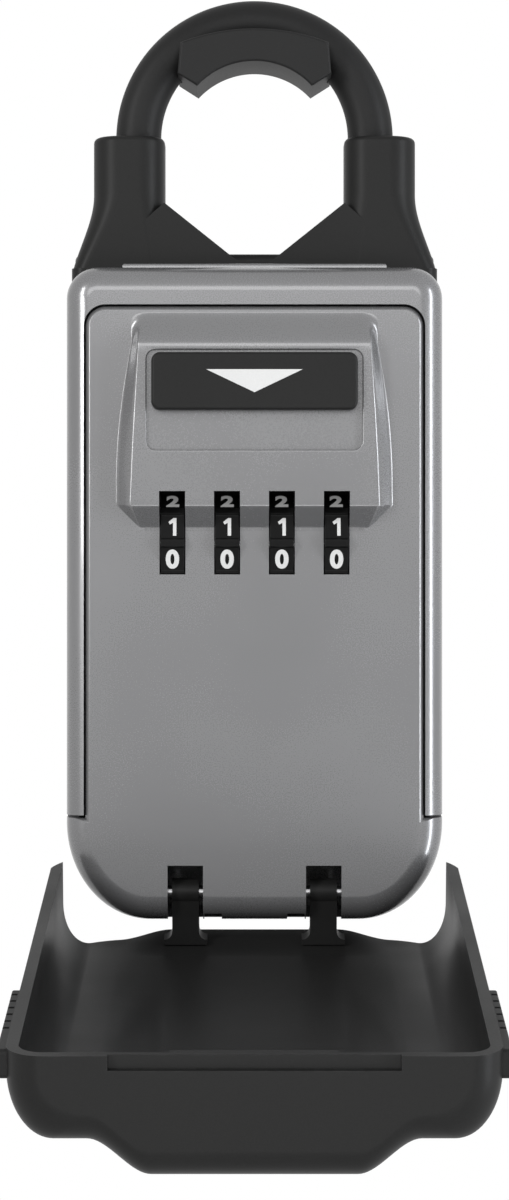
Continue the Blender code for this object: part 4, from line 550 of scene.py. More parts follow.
def build_case():
    cavity_front = FRONT + FLANGE_DEPTH
    cavity_back = BACK - WALL
    cavity_top = TOP - WALL
    cavity_floor = BOTTOM + WALL
    shoe_seat = SHOE_BACK + SHOE_CLEARANCE
    body = prism_y(case_outline(0), FRONT, BACK)
    round_edges(body, FRONT_ROUNDING, 2 * ROUND, on_plane(1, FRONT))
    round_edges(body, BACK_ROUNDING, ROUND, on_plane(1, BACK))
    rib_top = TOP + RIB_HEIGHT
    rib = box((-RIB_HALF, RIB_FRONT, TOP - OVERLAP), (RIB_HALF, RIB_BACK, rib_top))
    round_edges(rib, RIB_ROUNDING, 3, lambda middle, _edge: middle.z > rib_top - WELD)
    body = join(body, rib)
    cavity = prism_y(case_outline(WALL), cavity_front, cavity_back)
    doorway = prism_y(
        rounded_rectangle(
            -OPENING_HALF, OPENING_HALF, FRAME_END - OVERRUN - OPENING_CORNER, OPENING_TOP, OPENING_CORNER
        ),
        FRONT - OVERRUN,
        cavity_front + OVERLAP,
    )
    reach = HALF + OVERRUN
    shoe_space = box((-reach, FRONT - OVERRUN, BOTTOM - OVERRUN), (reach, shoe_seat, FRAME_END))
    body = cut(body, [cavity, doorway, shoe_space, hinge_rod(SWING_RADIUS, -reach, reach)])
    foot_front = HINGE_Y + LUG_REACH
    foot_back = foot_front + LUG_FOOT
    shoulder = HINGE_Z + KNUCKLE
    lug = arc(HINGE_Y, HINGE_Z, KNUCKLE, KNUCKLE, 90, 270) + [
        (foot_front, HINGE_Z - KNUCKLE),
        (foot_front, cavity_floor - OVERLAP),
        (foot_back, cavity_floor - OVERLAP),
        (foot_back, shoulder - KNUCKLE / 2),
        (foot_back - KNUCKLE / 2, shoulder),
    ]
    parts = []
    for side in (-1, 1):
        parts.append(prism_x(lug, side * LUG_X, side * (LUG_X + LUG_WIDTH)))
        parts.append(box(
            (side * ARM_X - ARM_WIDTH / 2, shoe_seat - TONGUE_REACH, BOTTOM + SEAT),
            (side * ARM_X + ARM_WIDTH / 2, shoe_seat + WALL, cavity_floor - SEAT),
        ))
    body = join(body, parts)
    holes = [hinge_rod(PIN_RADIUS + PIN_CLEARANCE, -PIN_HALF, PIN_HALF)]
    low = cavity_top - OVERRUN
    for side in (-1, 1):
        holes.append(post(side * LEG_X, 0, low, TOP + OVERRUN, LEG_HOLE))
        holes.append(post(side * BASE_SCREW_X, BASE_SCREW_Y, low, TOP + OVERRUN, SCREW_HOLE))
        holes.append(post(side * GUIDE_SCREW_X, 0, low, cavity_top + GUIDE_SCREW_DEPTH, SCREW_HOLE))
    body = cut(body, holes)
    round_edges(body, DOORWAY_ROUNDING, 3, doorway_edge)
    return dress(body, "case_body", "case", "silver_paint", "case_shell")


# Hood, one form with the door

HOOD_TOP = -0.057
HOOD_FLAT_TOP = -0.065
HOOD_FLAT_BOTTOM = -0.0997
HOOD_BOTTOM = -0.1049
HOOD_WIDEST_Z = -0.094
HOOD_BURY = 0.00003
FOOT_NARROWEST = 0.0256
FOOT_SPREAD = 0.005
FOOT_TOP_SPREAD = 0.002
FOOT_BOTTOM = 0.025
FLAT_NARROWEST = 0.0253
FLAT_SPREAD = 0.0016
FLAT_BOTTOM = 0.0249
FLAT_TOP_LOSS = 0.002
RAMP_SOFT = 0.12           # rounded share at each end of the ramp over the wheels
FLANK_SOFT = 0.22
FLANK_SOFT_GAIN = 0.28
FLANK_SOFT_RATE = 3
END_LEVELS = 16
FLAT_LEVELS = 24
FLANK_STEPS = 12


def within_one(share):
    return min(max(share, 0), 1)


def smooth_step(share):
    share = within_one(share)
    return share * share * (3 - 2 * share)


def eased(share, soft):
    """0 to 1 along a straight slope with rounded ends."""
    share = within_one(share)
    if share < soft:
        return share * share / (2 * soft * (1 - soft))
    if share > 1 - soft:
        return 1 - (1 - share) ** 2 / (2 * soft * (1 - soft))
    return (share - soft / 2) / (1 - soft)


def ramp_share(z):
    """0 at the flat's lower end, 1 at the hood's lower end."""
    return (HOOD_FLAT_BOTTOM - z) / (HOOD_FLAT_BOTTOM - HOOD_BOTTOM)


def hood_foot(z):
    """Half width of the hood where it meets the door."""
    share = (HOOD_TOP - z) / (HOOD_TOP - HOOD_WIDEST_Z)
    half = FOOT_NARROWEST + FOOT_SPREAD * math.sin(within_one(share) * math.pi / 2)
    half += FOOT_TOP_SPREAD * smooth_step((z - HOOD_FLAT_TOP) / (HOOD_TOP - HOOD_FLAT_TOP))
    if z < HOOD_FLAT_BOTTOM:
        half += (FOOT_BOTTOM - half) * ramp_share(z)
    return half


def hood_flat(z):
    """Half width of the hood's flat front."""
    share = (HOOD_FLAT_TOP - z) / (HOOD_FLAT_TOP - HOOD_FLAT_BOTTOM)
    half = FLAT_NARROWEST + FLAT_SPREAD * within_one(share)
    if z < HOOD_FLAT_BOTTOM:
        half += (FLAT_BOTTOM - half) * ramp_share(z)
    return half


def hood_rise(z):
    if z > HOOD_FLAT_TOP:
        return HOOD_HEIGHT * smooth_step((HOOD_TOP - z) / (HOOD_TOP - HOOD_FLAT_TOP))
    if z < HOOD_FLAT_BOTTOM:
        return HOOD_HEIGHT * eased((z - HOOD_BOTTOM) / (HOOD_FLAT_BOTTOM - HOOD_BOTTOM), RAMP_SOFT)
    return HOOD_HEIGHT


def hood_ring(z):
    """One level section; each flank is an eased slope from door to flat."""
    buried = FRONT + OVERLAP
    rise = (hood_rise(z) / HOOD_HEIGHT) * (HOOD_HEIGHT + HOOD_BURY)
    fade = within_one((z - HOOD_FLAT_TOP) / (HOOD_TOP - HOOD_FLAT_TOP))
    flat = hood_flat(z) - FLAT_TOP_LOSS * smooth_step(fade)
    soft = FLANK_SOFT + FLANK_SOFT_GAIN * min(FLANK_SOFT_RATE * fade, 1)
    right = [(hood_foot(z), buried, z)]
    for i in range(FLANK_STEPS + 1):
        share = i / FLANK_STEPS
        x = hood_foot(z) + (flat - hood_foot(z)) * share
        right.append((x, FRONT + HOOD_BURY - rise * eased(share, soft), z))
    return [(-x, y, level) for x, y, level in right] + right[::-1]


def build_hood():
    levels = []
    for top, bottom, count in (
        (HOOD_TOP, HOOD_FLAT_TOP, END_LEVELS),
        (HOOD_FLAT_TOP, HOOD_FLAT_BOTTOM, FLAT_LEVELS),
        (HOOD_FLAT_BOTTOM, HOOD_BOTTOM, END_LEVELS),
    ):
        levels += [top + (bottom - top) * i / count for i in range(count)]
    levels.append(HOOD_BOTTOM)
    return loft([hood_ring(z) for z in levels])


# Door

MASK_LEAD = 0.00015
DOOR_ROUNDING = 0.0018
HOLLOW_HALF = 0.0232
HOLLOW_SKIN = 0.0024
HOLLOW_LIFT = 0.0012
BOSS_X = 0.0298
BOSS_LEVELS = (-0.0664, -0.1234)
BOSS_BACK = 0.001
BOSS_RADIUS = 0.003
BRACKET_INNER = 0.0262
BRACKET_OUTER = 0.0286
BRACKET_HALF = 0.004
SIDE_GAP = 0.0004
EAR_WIDTH = 0.0032
LEDGE_HALF = 0.0023
LEDGE_SKIN = 0.0019
LEDGE_LOW = -0.098
LEDGE_HIGH = -0.0966
STEM_SLOT_HALF = 0.0029
STEM_SLOT_LOW = -0.0789
STEM_SLOT_HIGH = -0.0673
GROOVE_HALF = 0.024
GROOVE_HALF_HEIGHT = 0.00045
GROOVE_DEPTH = 0.0004
AXLE_HOLE = 0.00165
AXLE_HALF = 0.0288
RECESS_ROUNDING = 0.0003


def door_mask(inset):
    half = OPENING_HALF - DOOR_GAP - inset
    top = OPENING_TOP - DOOR_GAP - inset
    radius = OPENING_CORNER - DOOR_GAP - inset
    step = FRAME_END - STEP_GAP - inset
    wide = HALF + 2 * OVERRUN
    low = BOTTOM - 2 * OVERRUN
    return (
        arc(half - radius, top - radius, radius, radius, 0, 90)
        + arc(radius - half, top - radius, radius, radius, 90, 180)
        + [(-half, step), (-wide, step), (-wide, low), (wide, low), (wide, step), (half, step)]
    )


def wheel_rod(radius, left, right):
    return rod((left, WHEEL_Y, WHEEL_Z), (right, WHEEL_Y, WHEEL_Z), radius)


def recess_edge(middle, edge):
    half, low, high, _corner = RECESS
    inside = abs(middle.x) < half + WELD and low - WELD < middle.z < high + WELD
    return on_plane(1, HOOD_FRONT)(middle, edge) and inside and sharp(edge)


def door_blank(inner_front):
    """The hooded front, hollow behind."""
    reach = HALF + OVERRUN
    door = prism_y(case_outline(0), FRONT, SHOE_BACK)
    round_edges(door, FRONT_ROUNDING, 2 * ROUND, on_plane(1, FRONT))
    mask_front = FRONT - MASK_LEAD
    mask = prism_y(door_mask(0), mask_front, SHOE_BACK + OVERRUN)
    round_edges(mask, DOOR_ROUNDING, 2 * ROUND, on_plane(1, mask_front))
    behind = box(
        (-reach, FRONT + FLANGE_DEPTH, FRAME_END - STEP_GAP + OVERLAP),
        (reach, SHOE_BACK + OVERRUN, TOP + OVERRUN),
    )
    door = join(cut(keep(door, mask), behind), build_hood())
    hollow = keep(
        prism_y(case_outline(DOOR_WALL), inner_front, SHOE_BACK + OVERRUN),
        prism_y(door_mask(DOOR_WALL), inner_front - OVERRUN, SHOE_BACK + 2 * OVERRUN),
    )
    hood_hollow = box(
        (-HOLLOW_HALF, HOOD_FRONT + HOLLOW_SKIN, HOOD_FLAT_BOTTOM + HOLLOW_LIFT),
        (HOLLOW_HALF, inner_front + OVERLAP, HOOD_FLAT_TOP + OVERLAP),
    )
    return cut(door, [hollow, hood_hollow])


def door_additions(inner_front):
    """Screw bosses, axle brackets, hinge ears and the ledge of the opener's spring."""
    root = inner_front - OVERLAP
    parts = []
    for side in (-1, 1):
        for z in BOSS_LEVELS:
            parts.append(rod((side * BOSS_X, root, z), (side * BOSS_X, BOSS_BACK, z), BOSS_RADIUS))
        parts.append(box(
            (side * BRACKET_INNER, root, WHEEL_Z - BRACKET_HALF),
            (side * BRACKET_OUTER, WHEEL_Y + BRACKET_HALF, WHEEL_Z + BRACKET_HALF),
        ))
        inner = side * (ARM_X + SLOT_WIDTH / 2 + SIDE_GAP)
        ear = arc(HINGE_Y, HINGE_Z, KNUCKLE, KNUCKLE, -90, 90)
        ear += [(root, HINGE_Z + KNUCKLE), (root, HINGE_Z - KNUCKLE)]
        parts.append(prism_x(ear, inner, inner + side * EAR_WIDTH))
    parts.append(box(
        (-LEDGE_HALF, HOOD_FRONT + LEDGE_SKIN, LEDGE_LOW),
        (LEDGE_HALF, inner_front + LEDGE_HALF, LEDGE_HIGH),
    ))
    return parts


def door_openings(inner_front):
    """Hinge slots, wheel windows, opener recess and stem slots, index groove, pin and axle holes."""
    cuts = []
    for side in (-1, 1):
        cuts.append(box(
            (side * ARM_X - SLOT_WIDTH / 2, FRONT - OVERRUN, BOTTOM - OVERRUN),
            (side * ARM_X + SLOT_WIDTH / 2, SHOE_BACK + OVERRUN, SLOT_TOP),
        ))
        cuts.append(box(
            (side * (LUG_X - SIDE_GAP), HINGE_Y - KNUCKLE - SEAT, BOTTOM - OVERRUN),
            (side * (LUG_X + LUG_WIDTH + SIDE_GAP), SHOE_BACK + OVERRUN, BOTTOM + DOOR_WALL + OVERLAP),
        ))
    for x in WHEEL_CENTRES:
        left = x - WINDOW_WIDTH / 2
        right = x + WINDOW_WIDTH / 2
        cuts.append(box(
            (left, HOOD_FRONT - OVERRUN, WINDOW_BOTTOM), (right, inner_front + OVERRUN, WINDOW_TOP)
        ))
        cuts.append(wheel_rod(WHEEL_RADIUS + SEAT, left, right))
    half, low, high, corner = RECESS
    recess = rounded_rectangle(-half, half, low, high, corner, ROUND)
    cuts.append(prism_y(recess, HOOD_FRONT - OVERRUN, HOOD_FRONT + RECESS_DEPTH))
    for side in (-1, 1):
        cuts.append(box(
            (side * STEM_X - STEM_SLOT_HALF, HOOD_FRONT - OVERRUN / 2, STEM_SLOT_LOW),
            (side * STEM_X + STEM_SLOT_HALF, inner_front + OVERLAP, STEM_SLOT_HIGH),
        ))
    ends = (-GROOVE_HALF,) + WHEEL_CENTRES + (GROOVE_HALF,)
    for i, (left, right) in enumerate(zip(ends, ends[1:])):
        start = left if i == 0 else left + WINDOW_WIDTH / 2 - OVERLAP
        end = right if i == len(WHEEL_CENTRES) else right - WINDOW_WIDTH / 2 + OVERLAP
        cuts.append(box(
            (start, FRONT - OVERRUN, HOOD_BOTTOM - GROOVE_HALF_HEIGHT),
            (end, FRONT + GROOVE_DEPTH, HOOD_BOTTOM + GROOVE_HALF_HEIGHT),
        ))
    cuts.append(hinge_rod(PIN_RADIUS + PIN_CLEARANCE, -PIN_HALF, PIN_HALF))
    cuts.append(wheel_rod(AXLE_HOLE, -AXLE_HALF, AXLE_HALF))
    return cuts


def build_door():
    inner_front = FRONT + DOOR_WALL
    door = join(door_blank(inner_front), door_additions(inner_front))
    door = cut(door, door_openings(inner_front))
    round_edges(door, RECESS_ROUNDING, 3, recess_edge)
    return dress(door, "door_body", "door", "silver_paint", "door_shell")


# Opener and arrow

OPENER_ROUNDING = 0.00075
STEM_HALF = 0.0025
STEM_LOW = -0.0706
STEM_HIGH = -0.0676
STEM_BACK = -0.021
ARROW_HALF = 0.0105
ARROW_TOP = -0.0703
ARROW_TIP = -0.0753
ARROW_PROUD = 0.0001
ARROW_SINK = 0.0002


def build_opener():
    half, low, high, corner = OPENER
    outline = rounded_rectangle(-half, half, low, high, corner, ROUND + 2)
    button = prism_y(outline, OPENER_FRONT, OPENER_BACK)
    round_edges(button, OPENER_ROUNDING, 4, on_plane(1, OPENER_FRONT))
    stems = [
        box(
            (side * STEM_X - STEM_HALF, OPENER_BACK - OVERLAP, STEM_LOW),
            (side * STEM_X + STEM_HALF, STEM_BACK, STEM_HIGH),
        )
        for side in (-1, 1)
    ]
    dress(join(button, stems), "opener_pad", "opener", "black_plastic", "opener_button")
    triangle = [(-ARROW_HALF, ARROW_TOP), (0, ARROW_TIP), (ARROW_HALF, ARROW_TOP)]
    arrow = prism_y(triangle, OPENER_FRONT - ARROW_PROUD, OPENER_FRONT + ARROW_SINK)
    dress(arrow, "arrow_inlay", "opener", "white_mark", "opener_arrow")


# Number wheels

DIGITS = 10
DIGIT_TURN_DEG = 36
LAND_DEG = 3.6
LAND_HEIGHT = 0.00025
LAND_FOOT_RATIO = 1.35
WHEEL_BORE = 0.0017
WHEEL_ROUNDING = 0.00018
RIM_START = 0.01           # only edges farther than this from the axis are rounded
RIM_SHARP_DEG = 20
DIGIT_SIZE = 0.0056
DIGIT_WEIGHT = 0.00024
DIGIT_HALF_DEPTH = 0.00002
DIGIT_SEAT = 0.00023
ONE_OUTLINE = (
    (0.00055, 0), (0.00055, 0.0041), (-0.0001, 0.0041), (-0.0012, 0.0032),
    (-0.0009, 0.0026), (-0.0002, 0.003), (-0.0002, 0),
)


def wheel_outline():
    """Ten flats between narrow raised lands, in (y, z)."""
    points = []
    land = math.radians(LAND_DEG)
    half_turn = math.radians(DIGIT_TURN_DEG / 2)
    land_radius = WHEEL_RADIUS * math.cos(land)
    apothem = WHEEL_RADIUS * math.cos(half_turn) - LAND_HEIGHT
    for i in range(DIGITS):
        middle = math.radians(DIGIT_TURN_DEG * i)
        for side in (-1, 1):
            angle = middle + side * land
            corner = (math.cos(angle) * land_radius, math.sin(angle) * land_radius)
            foot_angle = middle + side * land * LAND_FOOT_RATIO
            foot_radius = apothem / math.cos(half_turn - abs(foot_angle - middle))
            foot = (math.cos(foot_angle) * foot_radius, math.sin(foot_angle) * foot_radius)
            points += [foot, corner] if side < 0 else [corner, foot]
    return [(WHEEL_Y - y, WHEEL_Z + z) for y, z in points]


def flat_digit(number):
    """One digit in the plane; the 1 is an outline with a flag, the others are text."""
    if number == 1:
        return prism_z(ONE_OUTLINE, -DIGIT_HALF_DEPTH, DIGIT_HALF_DEPTH)
    text = bpy.data.curves.new("digit", "FONT")
    text.body = str(number)
    text.size = DIGIT_SIZE
    text.offset = DIGIT_WEIGHT
    text.extrude = DIGIT_HALF_DEPTH
    text.align_x = "CENTER"
    obj = bpy.data.objects.new("digit", text)
    SCENE.collection.objects.link(obj)
    return made_real(obj)


def build_digit(number, x):
    """One digit lying on its flat; digits rise upwards from 0 below the index line."""
    solid = flat_digit(number)
    across = [v.co.x for v in solid.data.vertices]
    upwards = [v.co.y for v in solid.data.vertices]
    centre = (-(min(across) + max(across)) / 2, -(min(upwards) + max(upwards)) / 2, 0)
    solid.data.transform(Matrix.Translation(centre))
    half_turn = math.radians(DIGIT_TURN_DEG / 2)
    flat = WHEEL_RADIUS * math.cos(half_turn) - DIGIT_SEAT
    turn = math.radians(DIGIT_TURN_DEG / 2 + DIGIT_TURN_DEG * (number - 1))
    stand = Matrix.Rotation(-turn, 4, "X") @ Matrix.Translation((0, -flat, 0)) @ FACING
    solid.data.transform(Matrix.Translation((x, WHEEL_Y, WHEEL_Z)) @ stand)
    return solid


def rim_edge_of_wheel(middle, edge):
    from_axis = middle - Vector((middle.x, WHEEL_Y, WHEEL_Z))
    return from_axis.length > RIM_START and sharp(edge, RIM_SHARP_DEG)


def build_wheels():
    for i, x in enumerate(WHEEL_CENTRES, 1):
        left = x - WHEEL_WIDTH / 2
        right = x + WHEEL_WIDTH / 2
        rim = prism_x(wheel_outline(), left, right)
        rim = cut(rim, wheel_rod(WHEEL_BORE, left - OVERRUN, right + OVERRUN))
        round_edges(rim, WHEEL_ROUNDING, 2, rim_edge_of_wheel)
        dress(rim, f"number_wheel_{i}", f"wheel_{i}", "wheel_black", f"dial_wheel_{i}")
        for digit in range(DIGITS):
            dress(build_digit(digit, x), f"wheel_{i}_digit_{digit}", f"wheel_{i}", "white_mark")


# Shackle and bumper pad

ARCH_Z = -0.0163
LEG_FOOT = -0.0555
BAR_RADIUS = 0.0051
LEG_ROUNDING = 0.001
NECK_LOW = -0.0533
NECK_HIGH = -0.0503
NECK_OUTER = 0.0056
NECK_RADIUS = 0.0035
PAD_DEPTH = 0.0095         # from the middle to either face
PAD_TIP = (0.0128, -0.0056)
PAD_SHOULDER = (0.0166, 0.0042)
PAD_CHEEK = (0.0172, -0.0028)
PAD_TOP = 0.0073
PAD_ROUNDING = 0.0012
PAD_BAR_FOOT = -0.0425
PAD_BAR_RADIUS = 0.0054


def shackle_line(foot):
    arch = arc(0, ARCH_Z, LEG_X, LEG_X, 180, 0, 6 * STEPS)
    return [(-LEG_X, foot)] + arch + [(LEG_X, foot)]


def build_shackle():
    bar = tube(shackle_line(LEG_FOOT), BAR_RADIUS)
    round_edges(bar, LEG_ROUNDING, 4, on_plane(2, LEG_FOOT))
    rings = []
    for side in (-1, 1):
        x = side * LEG_X
        ring = post(x, 0, NECK_LOW, NECK_HIGH, NECK_OUTER)
        rings.append(cut(ring, post(x, 0, NECK_LOW - OVERRUN, NECK_HIGH + OVERRUN, NECK_RADIUS)))
    return dress(cut(bar, rings), "shackle_bar", "hanger", "black_rubber", "shackle")


def through(start, middle, end, steps):
    """Points along the circle through three points, start left out."""
    (ax, az), (bx, bz), (cx, cz) = start, middle, end
    twice = 2 * (ax * (bz - cz) + bx * (cz - az) + cx * (az - bz))
    a2, b2, c2 = ax * ax + az * az, bx * bx + bz * bz, cx * cx + cz * cz
    centre_x = (a2 * (bz - cz) + b2 * (cz - az) + c2 * (az - bz)) / twice
    centre_z = (a2 * (cx - bx) + b2 * (ax - cx) + c2 * (bx - ax)) / twice
    radius = math.hypot(ax - centre_x, az - centre_z)
    first = math.atan2(az - centre_z, ax - centre_x)
    turn = math.remainder(math.atan2(cz - centre_z, cx - centre_x) - first, 2 * math.pi)
    half = math.remainder(math.atan2(bz - centre_z, bx - centre_x) - first, 2 * math.pi)
    if half * turn < 0:
        turn -= math.copysign(2 * math.pi, turn)
    angles = [first + turn * i / steps for i in range(1, steps + 1)]
    return [(centre_x + radius * math.cos(a), centre_z + radius * math.sin(a)) for a in angles]


def other_side(point):
    return (-point[0], point[1])


def build_bumper():
    outline = [other_side(PAD_TIP)]
    outline += through(other_side(PAD_TIP), (0, 0), PAD_TIP, 3 * STEPS)
    outline += [PAD_CHEEK, PAD_SHOULDER]
    outline += through(PAD_SHOULDER, (0, PAD_TOP), other_side(PAD_SHOULDER), 2 * STEPS)
    outline += [other_side(PAD_CHEEK)]
    pad = prism_y(outline, -PAD_DEPTH, PAD_DEPTH)
    for face in (-PAD_DEPTH, PAD_DEPTH):
        round_edges(pad, PAD_ROUNDING, ROUND, on_plane(1, face))
    pad = cut(pad, tube(shackle_line(PAD_BAR_FOOT), PAD_BAR_RADIUS))
    return dress(pad, "bumper_pad", "hanger", "black_rubber", "shackle_bumper")


# Base cap with its two ferrules

FERRULE_INNER = 0.0202
FERRULE_OUTER = 0.0362
FERRULE_TOP = -0.0165
FERRULE_DEPTH = 0.00875    # from the middle to the front face
FERRULE_CORNER = 0.0062
FERRULE_ROUNDING = 0.0012
FLARE_TOP = -0.0294
FLARE_SHARE = 0.8
FOOT_OUTER = 0.041
FOOT_BACK = 0.0185
FOOT_CORNER = 0.003
FOOT_HEIGHT = 0.0042
FOOT_DEPTH = 0.0124
FOOT_ROUNDING = 0.0014
PLATE_BACK = 0.018
SKIRT_DROP = 0.004
SKIRT_RISE = 0.0008
WEB_REACH = 0.0066
WEB_EDGE_Z = -0.0375
WEB_TOP = -0.0316
WEB_SETBACK = 0.0001
VALLEY_HALF = 0.004
VALLEY_Z = -0.0445
LEG_BORE = 0.0054
SCREW_BORE_TOP = -0.0435
SCREW_SIDES = 24


def ferrule_ring(z, left, right, front, back, radius):
    return [(x, y, z) for x, y in rounded_rectangle(left, right, front, back, radius, ROUND + 4)]


def build_ferrule():
    rings = []
    for i in range(ROUND + 1):
        angle = math.pi / 2 * (1 - i / ROUND)
        inset = FERRULE_ROUNDING * (1 - math.cos(angle))
        z = FERRULE_TOP - FERRULE_ROUNDING * (1 - math.sin(angle))
        rings.append(ferrule_ring(
            z, FERRULE_INNER + inset, FERRULE_OUTER - inset, inset - FERRULE_DEPTH, FERRULE_DEPTH - inset,
            FERRULE_CORNER - inset,
        ))
    low = TOP - OVERLAP
    for i in range(2 * STEPS + 1):
        share = i / (2 * STEPS)
        spread = smooth_step(share * FLARE_SHARE) / smooth_step(FLARE_SHARE)
        outer = FERRULE_OUTER + (FOOT_OUTER - FERRULE_OUTER) * spread
        back = FERRULE_DEPTH + (FOOT_BACK - FERRULE_DEPTH) * smooth_step(share)
        corner = FERRULE_CORNER + (FOOT_CORNER - FERRULE_CORNER) * share
        z = FLARE_TOP + (low - FLARE_TOP) * share
        rings.append(ferrule_ring(z, FERRULE_INNER, outer, -FERRULE_DEPTH, back, corner))
    return loft(rings)


def build_cap():
    low = TOP - 2 * OVERLAP
    reach = FERRULE_INNER + WEB_REACH
    right = [(reach, low), (reach, WEB_EDGE_Z), (FERRULE_INNER, WEB_TOP), (VALLEY_HALF, VALLEY_Z)]
    flank = [(-reach, low)] + right + [other_side(point) for point in right[:0:-1]]
    cap = prism_y(flank, WEB_SETBACK - FERRULE_DEPTH, FERRULE_DEPTH)
    foot_top = TOP + SEAT + FOOT_HEIGHT
    back = prism_z(
        rounded_rectangle(
            OVERLAP - FOOT_OUTER, FOOT_OUTER - OVERLAP, FERRULE_DEPTH - FOOT_DEPTH, PLATE_BACK,
            FOOT_CORNER, ROUND,
        ),
        TOP - OVERLAP / 2, foot_top,
    )
    round_edges(back, FOOT_ROUNDING, ROUND, on_plane(2, foot_top))
    skirt = prism_z(
        rounded_rectangle(
            HALF - TOP_RADIUS, FOOT_OUTER, -FERRULE_DEPTH, FOOT_BACK, FOOT_CORNER, ROUND + 4
        ),
        TOP - SKIRT_DROP, TOP + SKIRT_RISE,
    )
    ferrule = join(build_ferrule(), skirt)
    cap = join(cap, [back, mirrored(ferrule), ferrule])
    cuts = [prism_y(case_outline(-SEAT), -FERRULE_DEPTH - OVERRUN, FOOT_BACK + OVERRUN)]
    for side in (-1, 1):
        cuts.append(post(side * LEG_X, 0, low - OVERRUN, FERRULE_TOP + OVERRUN, LEG_BORE))
        cuts.append(post(
            side * BASE_SCREW_X, BASE_SCREW_Y, low - OVERRUN, SCREW_BORE_TOP, SCREW_HOLE, SCREW_SIDES
        ))
    return dress(cut(cap, cuts), "cap_body", "case", "black_plastic", "shackle_base")


# Weather cover, drawn shut and turned open; u runs from the hinge to the free end, w outwards

OPEN_DEG = 99.5
COVER_LENGTH = 0.1416
COVER_START = -0.008
COVER_HALF = 0.0444
COVER_WALL = 0.0023
COVER_DEPTH = 0.0148
END_SHOULDER = 0.0094
END_MIDDLE = 0.0163
SIDE_CORNER = 0.0082
SIDE_HEIGHT = 0.013
BULGE_FOOT = 0.030
BULGE_EDGE = 0.0185
CURL_START = -0.006
CURL_LENGTH = 0.014
CURL_END = 0.008
CURL_DROP = 0.0023
CURL_LEVELS = 8
LENGTH_LEVELS = 10
END_RADIUS = 0.0068
END_TURN_SHARE = 0.85
END_DROP_SHARE = 0.15
RIM = -0.0075
PLAN_HALF = 0.0449
PLAN_END = 0.1436
PLAN_CENTRE_X = 0.026
PLAN_CENTRE_U = 0.0124
PLAN_CORNER = 0.0184
PLAN_FRONT = 0.0184
PLAN_BACK = 0.0095
ARM_LEVEL = 0.0102
ARM_FILLET = 0.0018
ARM_SINK = 0.00115
ARM_HALF_HEIGHT = 0.0026
LIP_HALF = 0.015
LIP_START = 0.1381
LIP_END = 0.14045
LIP_HEIGHT = 0.0012
NOTCH_HALF = 0.026
NOTCH_START = 0.1406
NOTCH_HEIGHT = 0.0027
RIM_ROUNDING = 0.0004
GRIP_FRONT = 0.0015
GRIP_BACK = 0.007
GRIP_START = 0.0985
GRIP_END = 0.1365
GRIP_CORNER = 0.001
GRIP_FACE = 0.046
GRIP_ROOT = 0.0436
POCKET_FLOOR = 0.0433
GRIP_PAST = 0.048          # cutters end here, outside the pad
GRIP_ROUNDING = 0.0004
RIDGES = 6
RIDGE_PITCH = 0.0042
RIDGE_GROOVE = 0.0011
RIDGE_FLOOR = 0.0447
RIDGE_FRONT = 0.0005
RIDGE_BACK = -0.009
RIDGE_ROUNDING = 0.0002

OPEN = (
    Matrix.Translation((0, HINGE_Y, HINGE_Z)) @ Matrix.Rotation(math.radians(OPEN_DEG), 4, "X")
    @ Matrix.Translation((0, -HINGE_Y, -HINGE_Z))
)


def cover_point(x, u, w):
    return (x, HINGE_Y - w, HINGE_Z + u)


def cover_section(u, inset, rim, draw_in):
    share = min(max(u, 0), COVER_LENGTH) / COVER_LENGTH
    shoulder = COVER_DEPTH + (END_SHOULDER - COVER_DEPTH) * share
    curl = smooth_step((CURL_END - u) / CURL_LENGTH)
    middle = COVER_DEPTH + (END_MIDDLE - COVER_DEPTH) * share - CURL_DROP * curl
    shrink = inset + draw_in
    outer = COVER_HALF - shrink
    width = max(SIDE_CORNER - inset, COVER_WALL)
    half = [(outer, rim)]
    half += arc(outer - width, shoulder - SIDE_HEIGHT, width, SIDE_HEIGHT - shrink, 0, 90, STEPS)
    foot = min(BULGE_FOOT, outer - SIDE_CORNER)
    for i in range(STEPS + 1):
        part = i / STEPS
        w = shoulder + (middle - shoulder) * smooth_step(part) - shrink
        half.append((foot + (BULGE_EDGE - foot) * part, w))
    return half + [(-x, w) for x, w in reversed(half)]


def cover_form(inset, rim, start_u, end_u, end_radius):
    levels = [(start_u, 0), (CURL_START, 0)]
    levels += [(CURL_START + CURL_LENGTH * i / CURL_LEVELS, 0) for i in range(1, CURL_LEVELS + 1)]
    length = end_u - end_radius - CURL_END
    levels += [(CURL_END + length * i / LENGTH_LEVELS, 0) for i in range(1, LENGTH_LEVELS)]
    for i in range(STEPS + 1):
        angle = math.pi / 2 * i / STEPS * END_TURN_SHARE
        u = end_u - end_radius + end_radius * math.sin(angle)
        levels.append((u, end_radius * (1 - math.cos(angle))))
    levels.append((end_u, levels[-1][1] + end_radius * END_DROP_SHARE))
    return loft([
        [cover_point(x, u, w) for x, w in cover_section(u, inset, rim, draw_in)] for u, draw_in in levels
    ])


def grip_outline(margin):
    return rounded_rectangle(
        HINGE_Y + GRIP_FRONT - margin, HINGE_Y + GRIP_BACK + margin,
        HINGE_Z + GRIP_START - margin, HINGE_Z + GRIP_END + margin,
        GRIP_CORNER + margin, ROUND,
    )


def cover_plan():
    """The cover's outline from the front, with large corners at the hinge end."""
    high = HINGE_Z + PLAN_END
    centre_z = HINGE_Z + PLAN_CENTRE_U
    width = PLAN_HALF - PLAN_CENTRE_X
    return (
        arc(PLAN_CENTRE_X, centre_z, width, PLAN_CORNER, -90, 0, 2 * STEPS)
        + [(PLAN_HALF, high), (-PLAN_HALF, high)]
        + arc(-PLAN_CENTRE_X, centre_z, width, PLAN_CORNER, 180, 270, 2 * STEPS)
    )


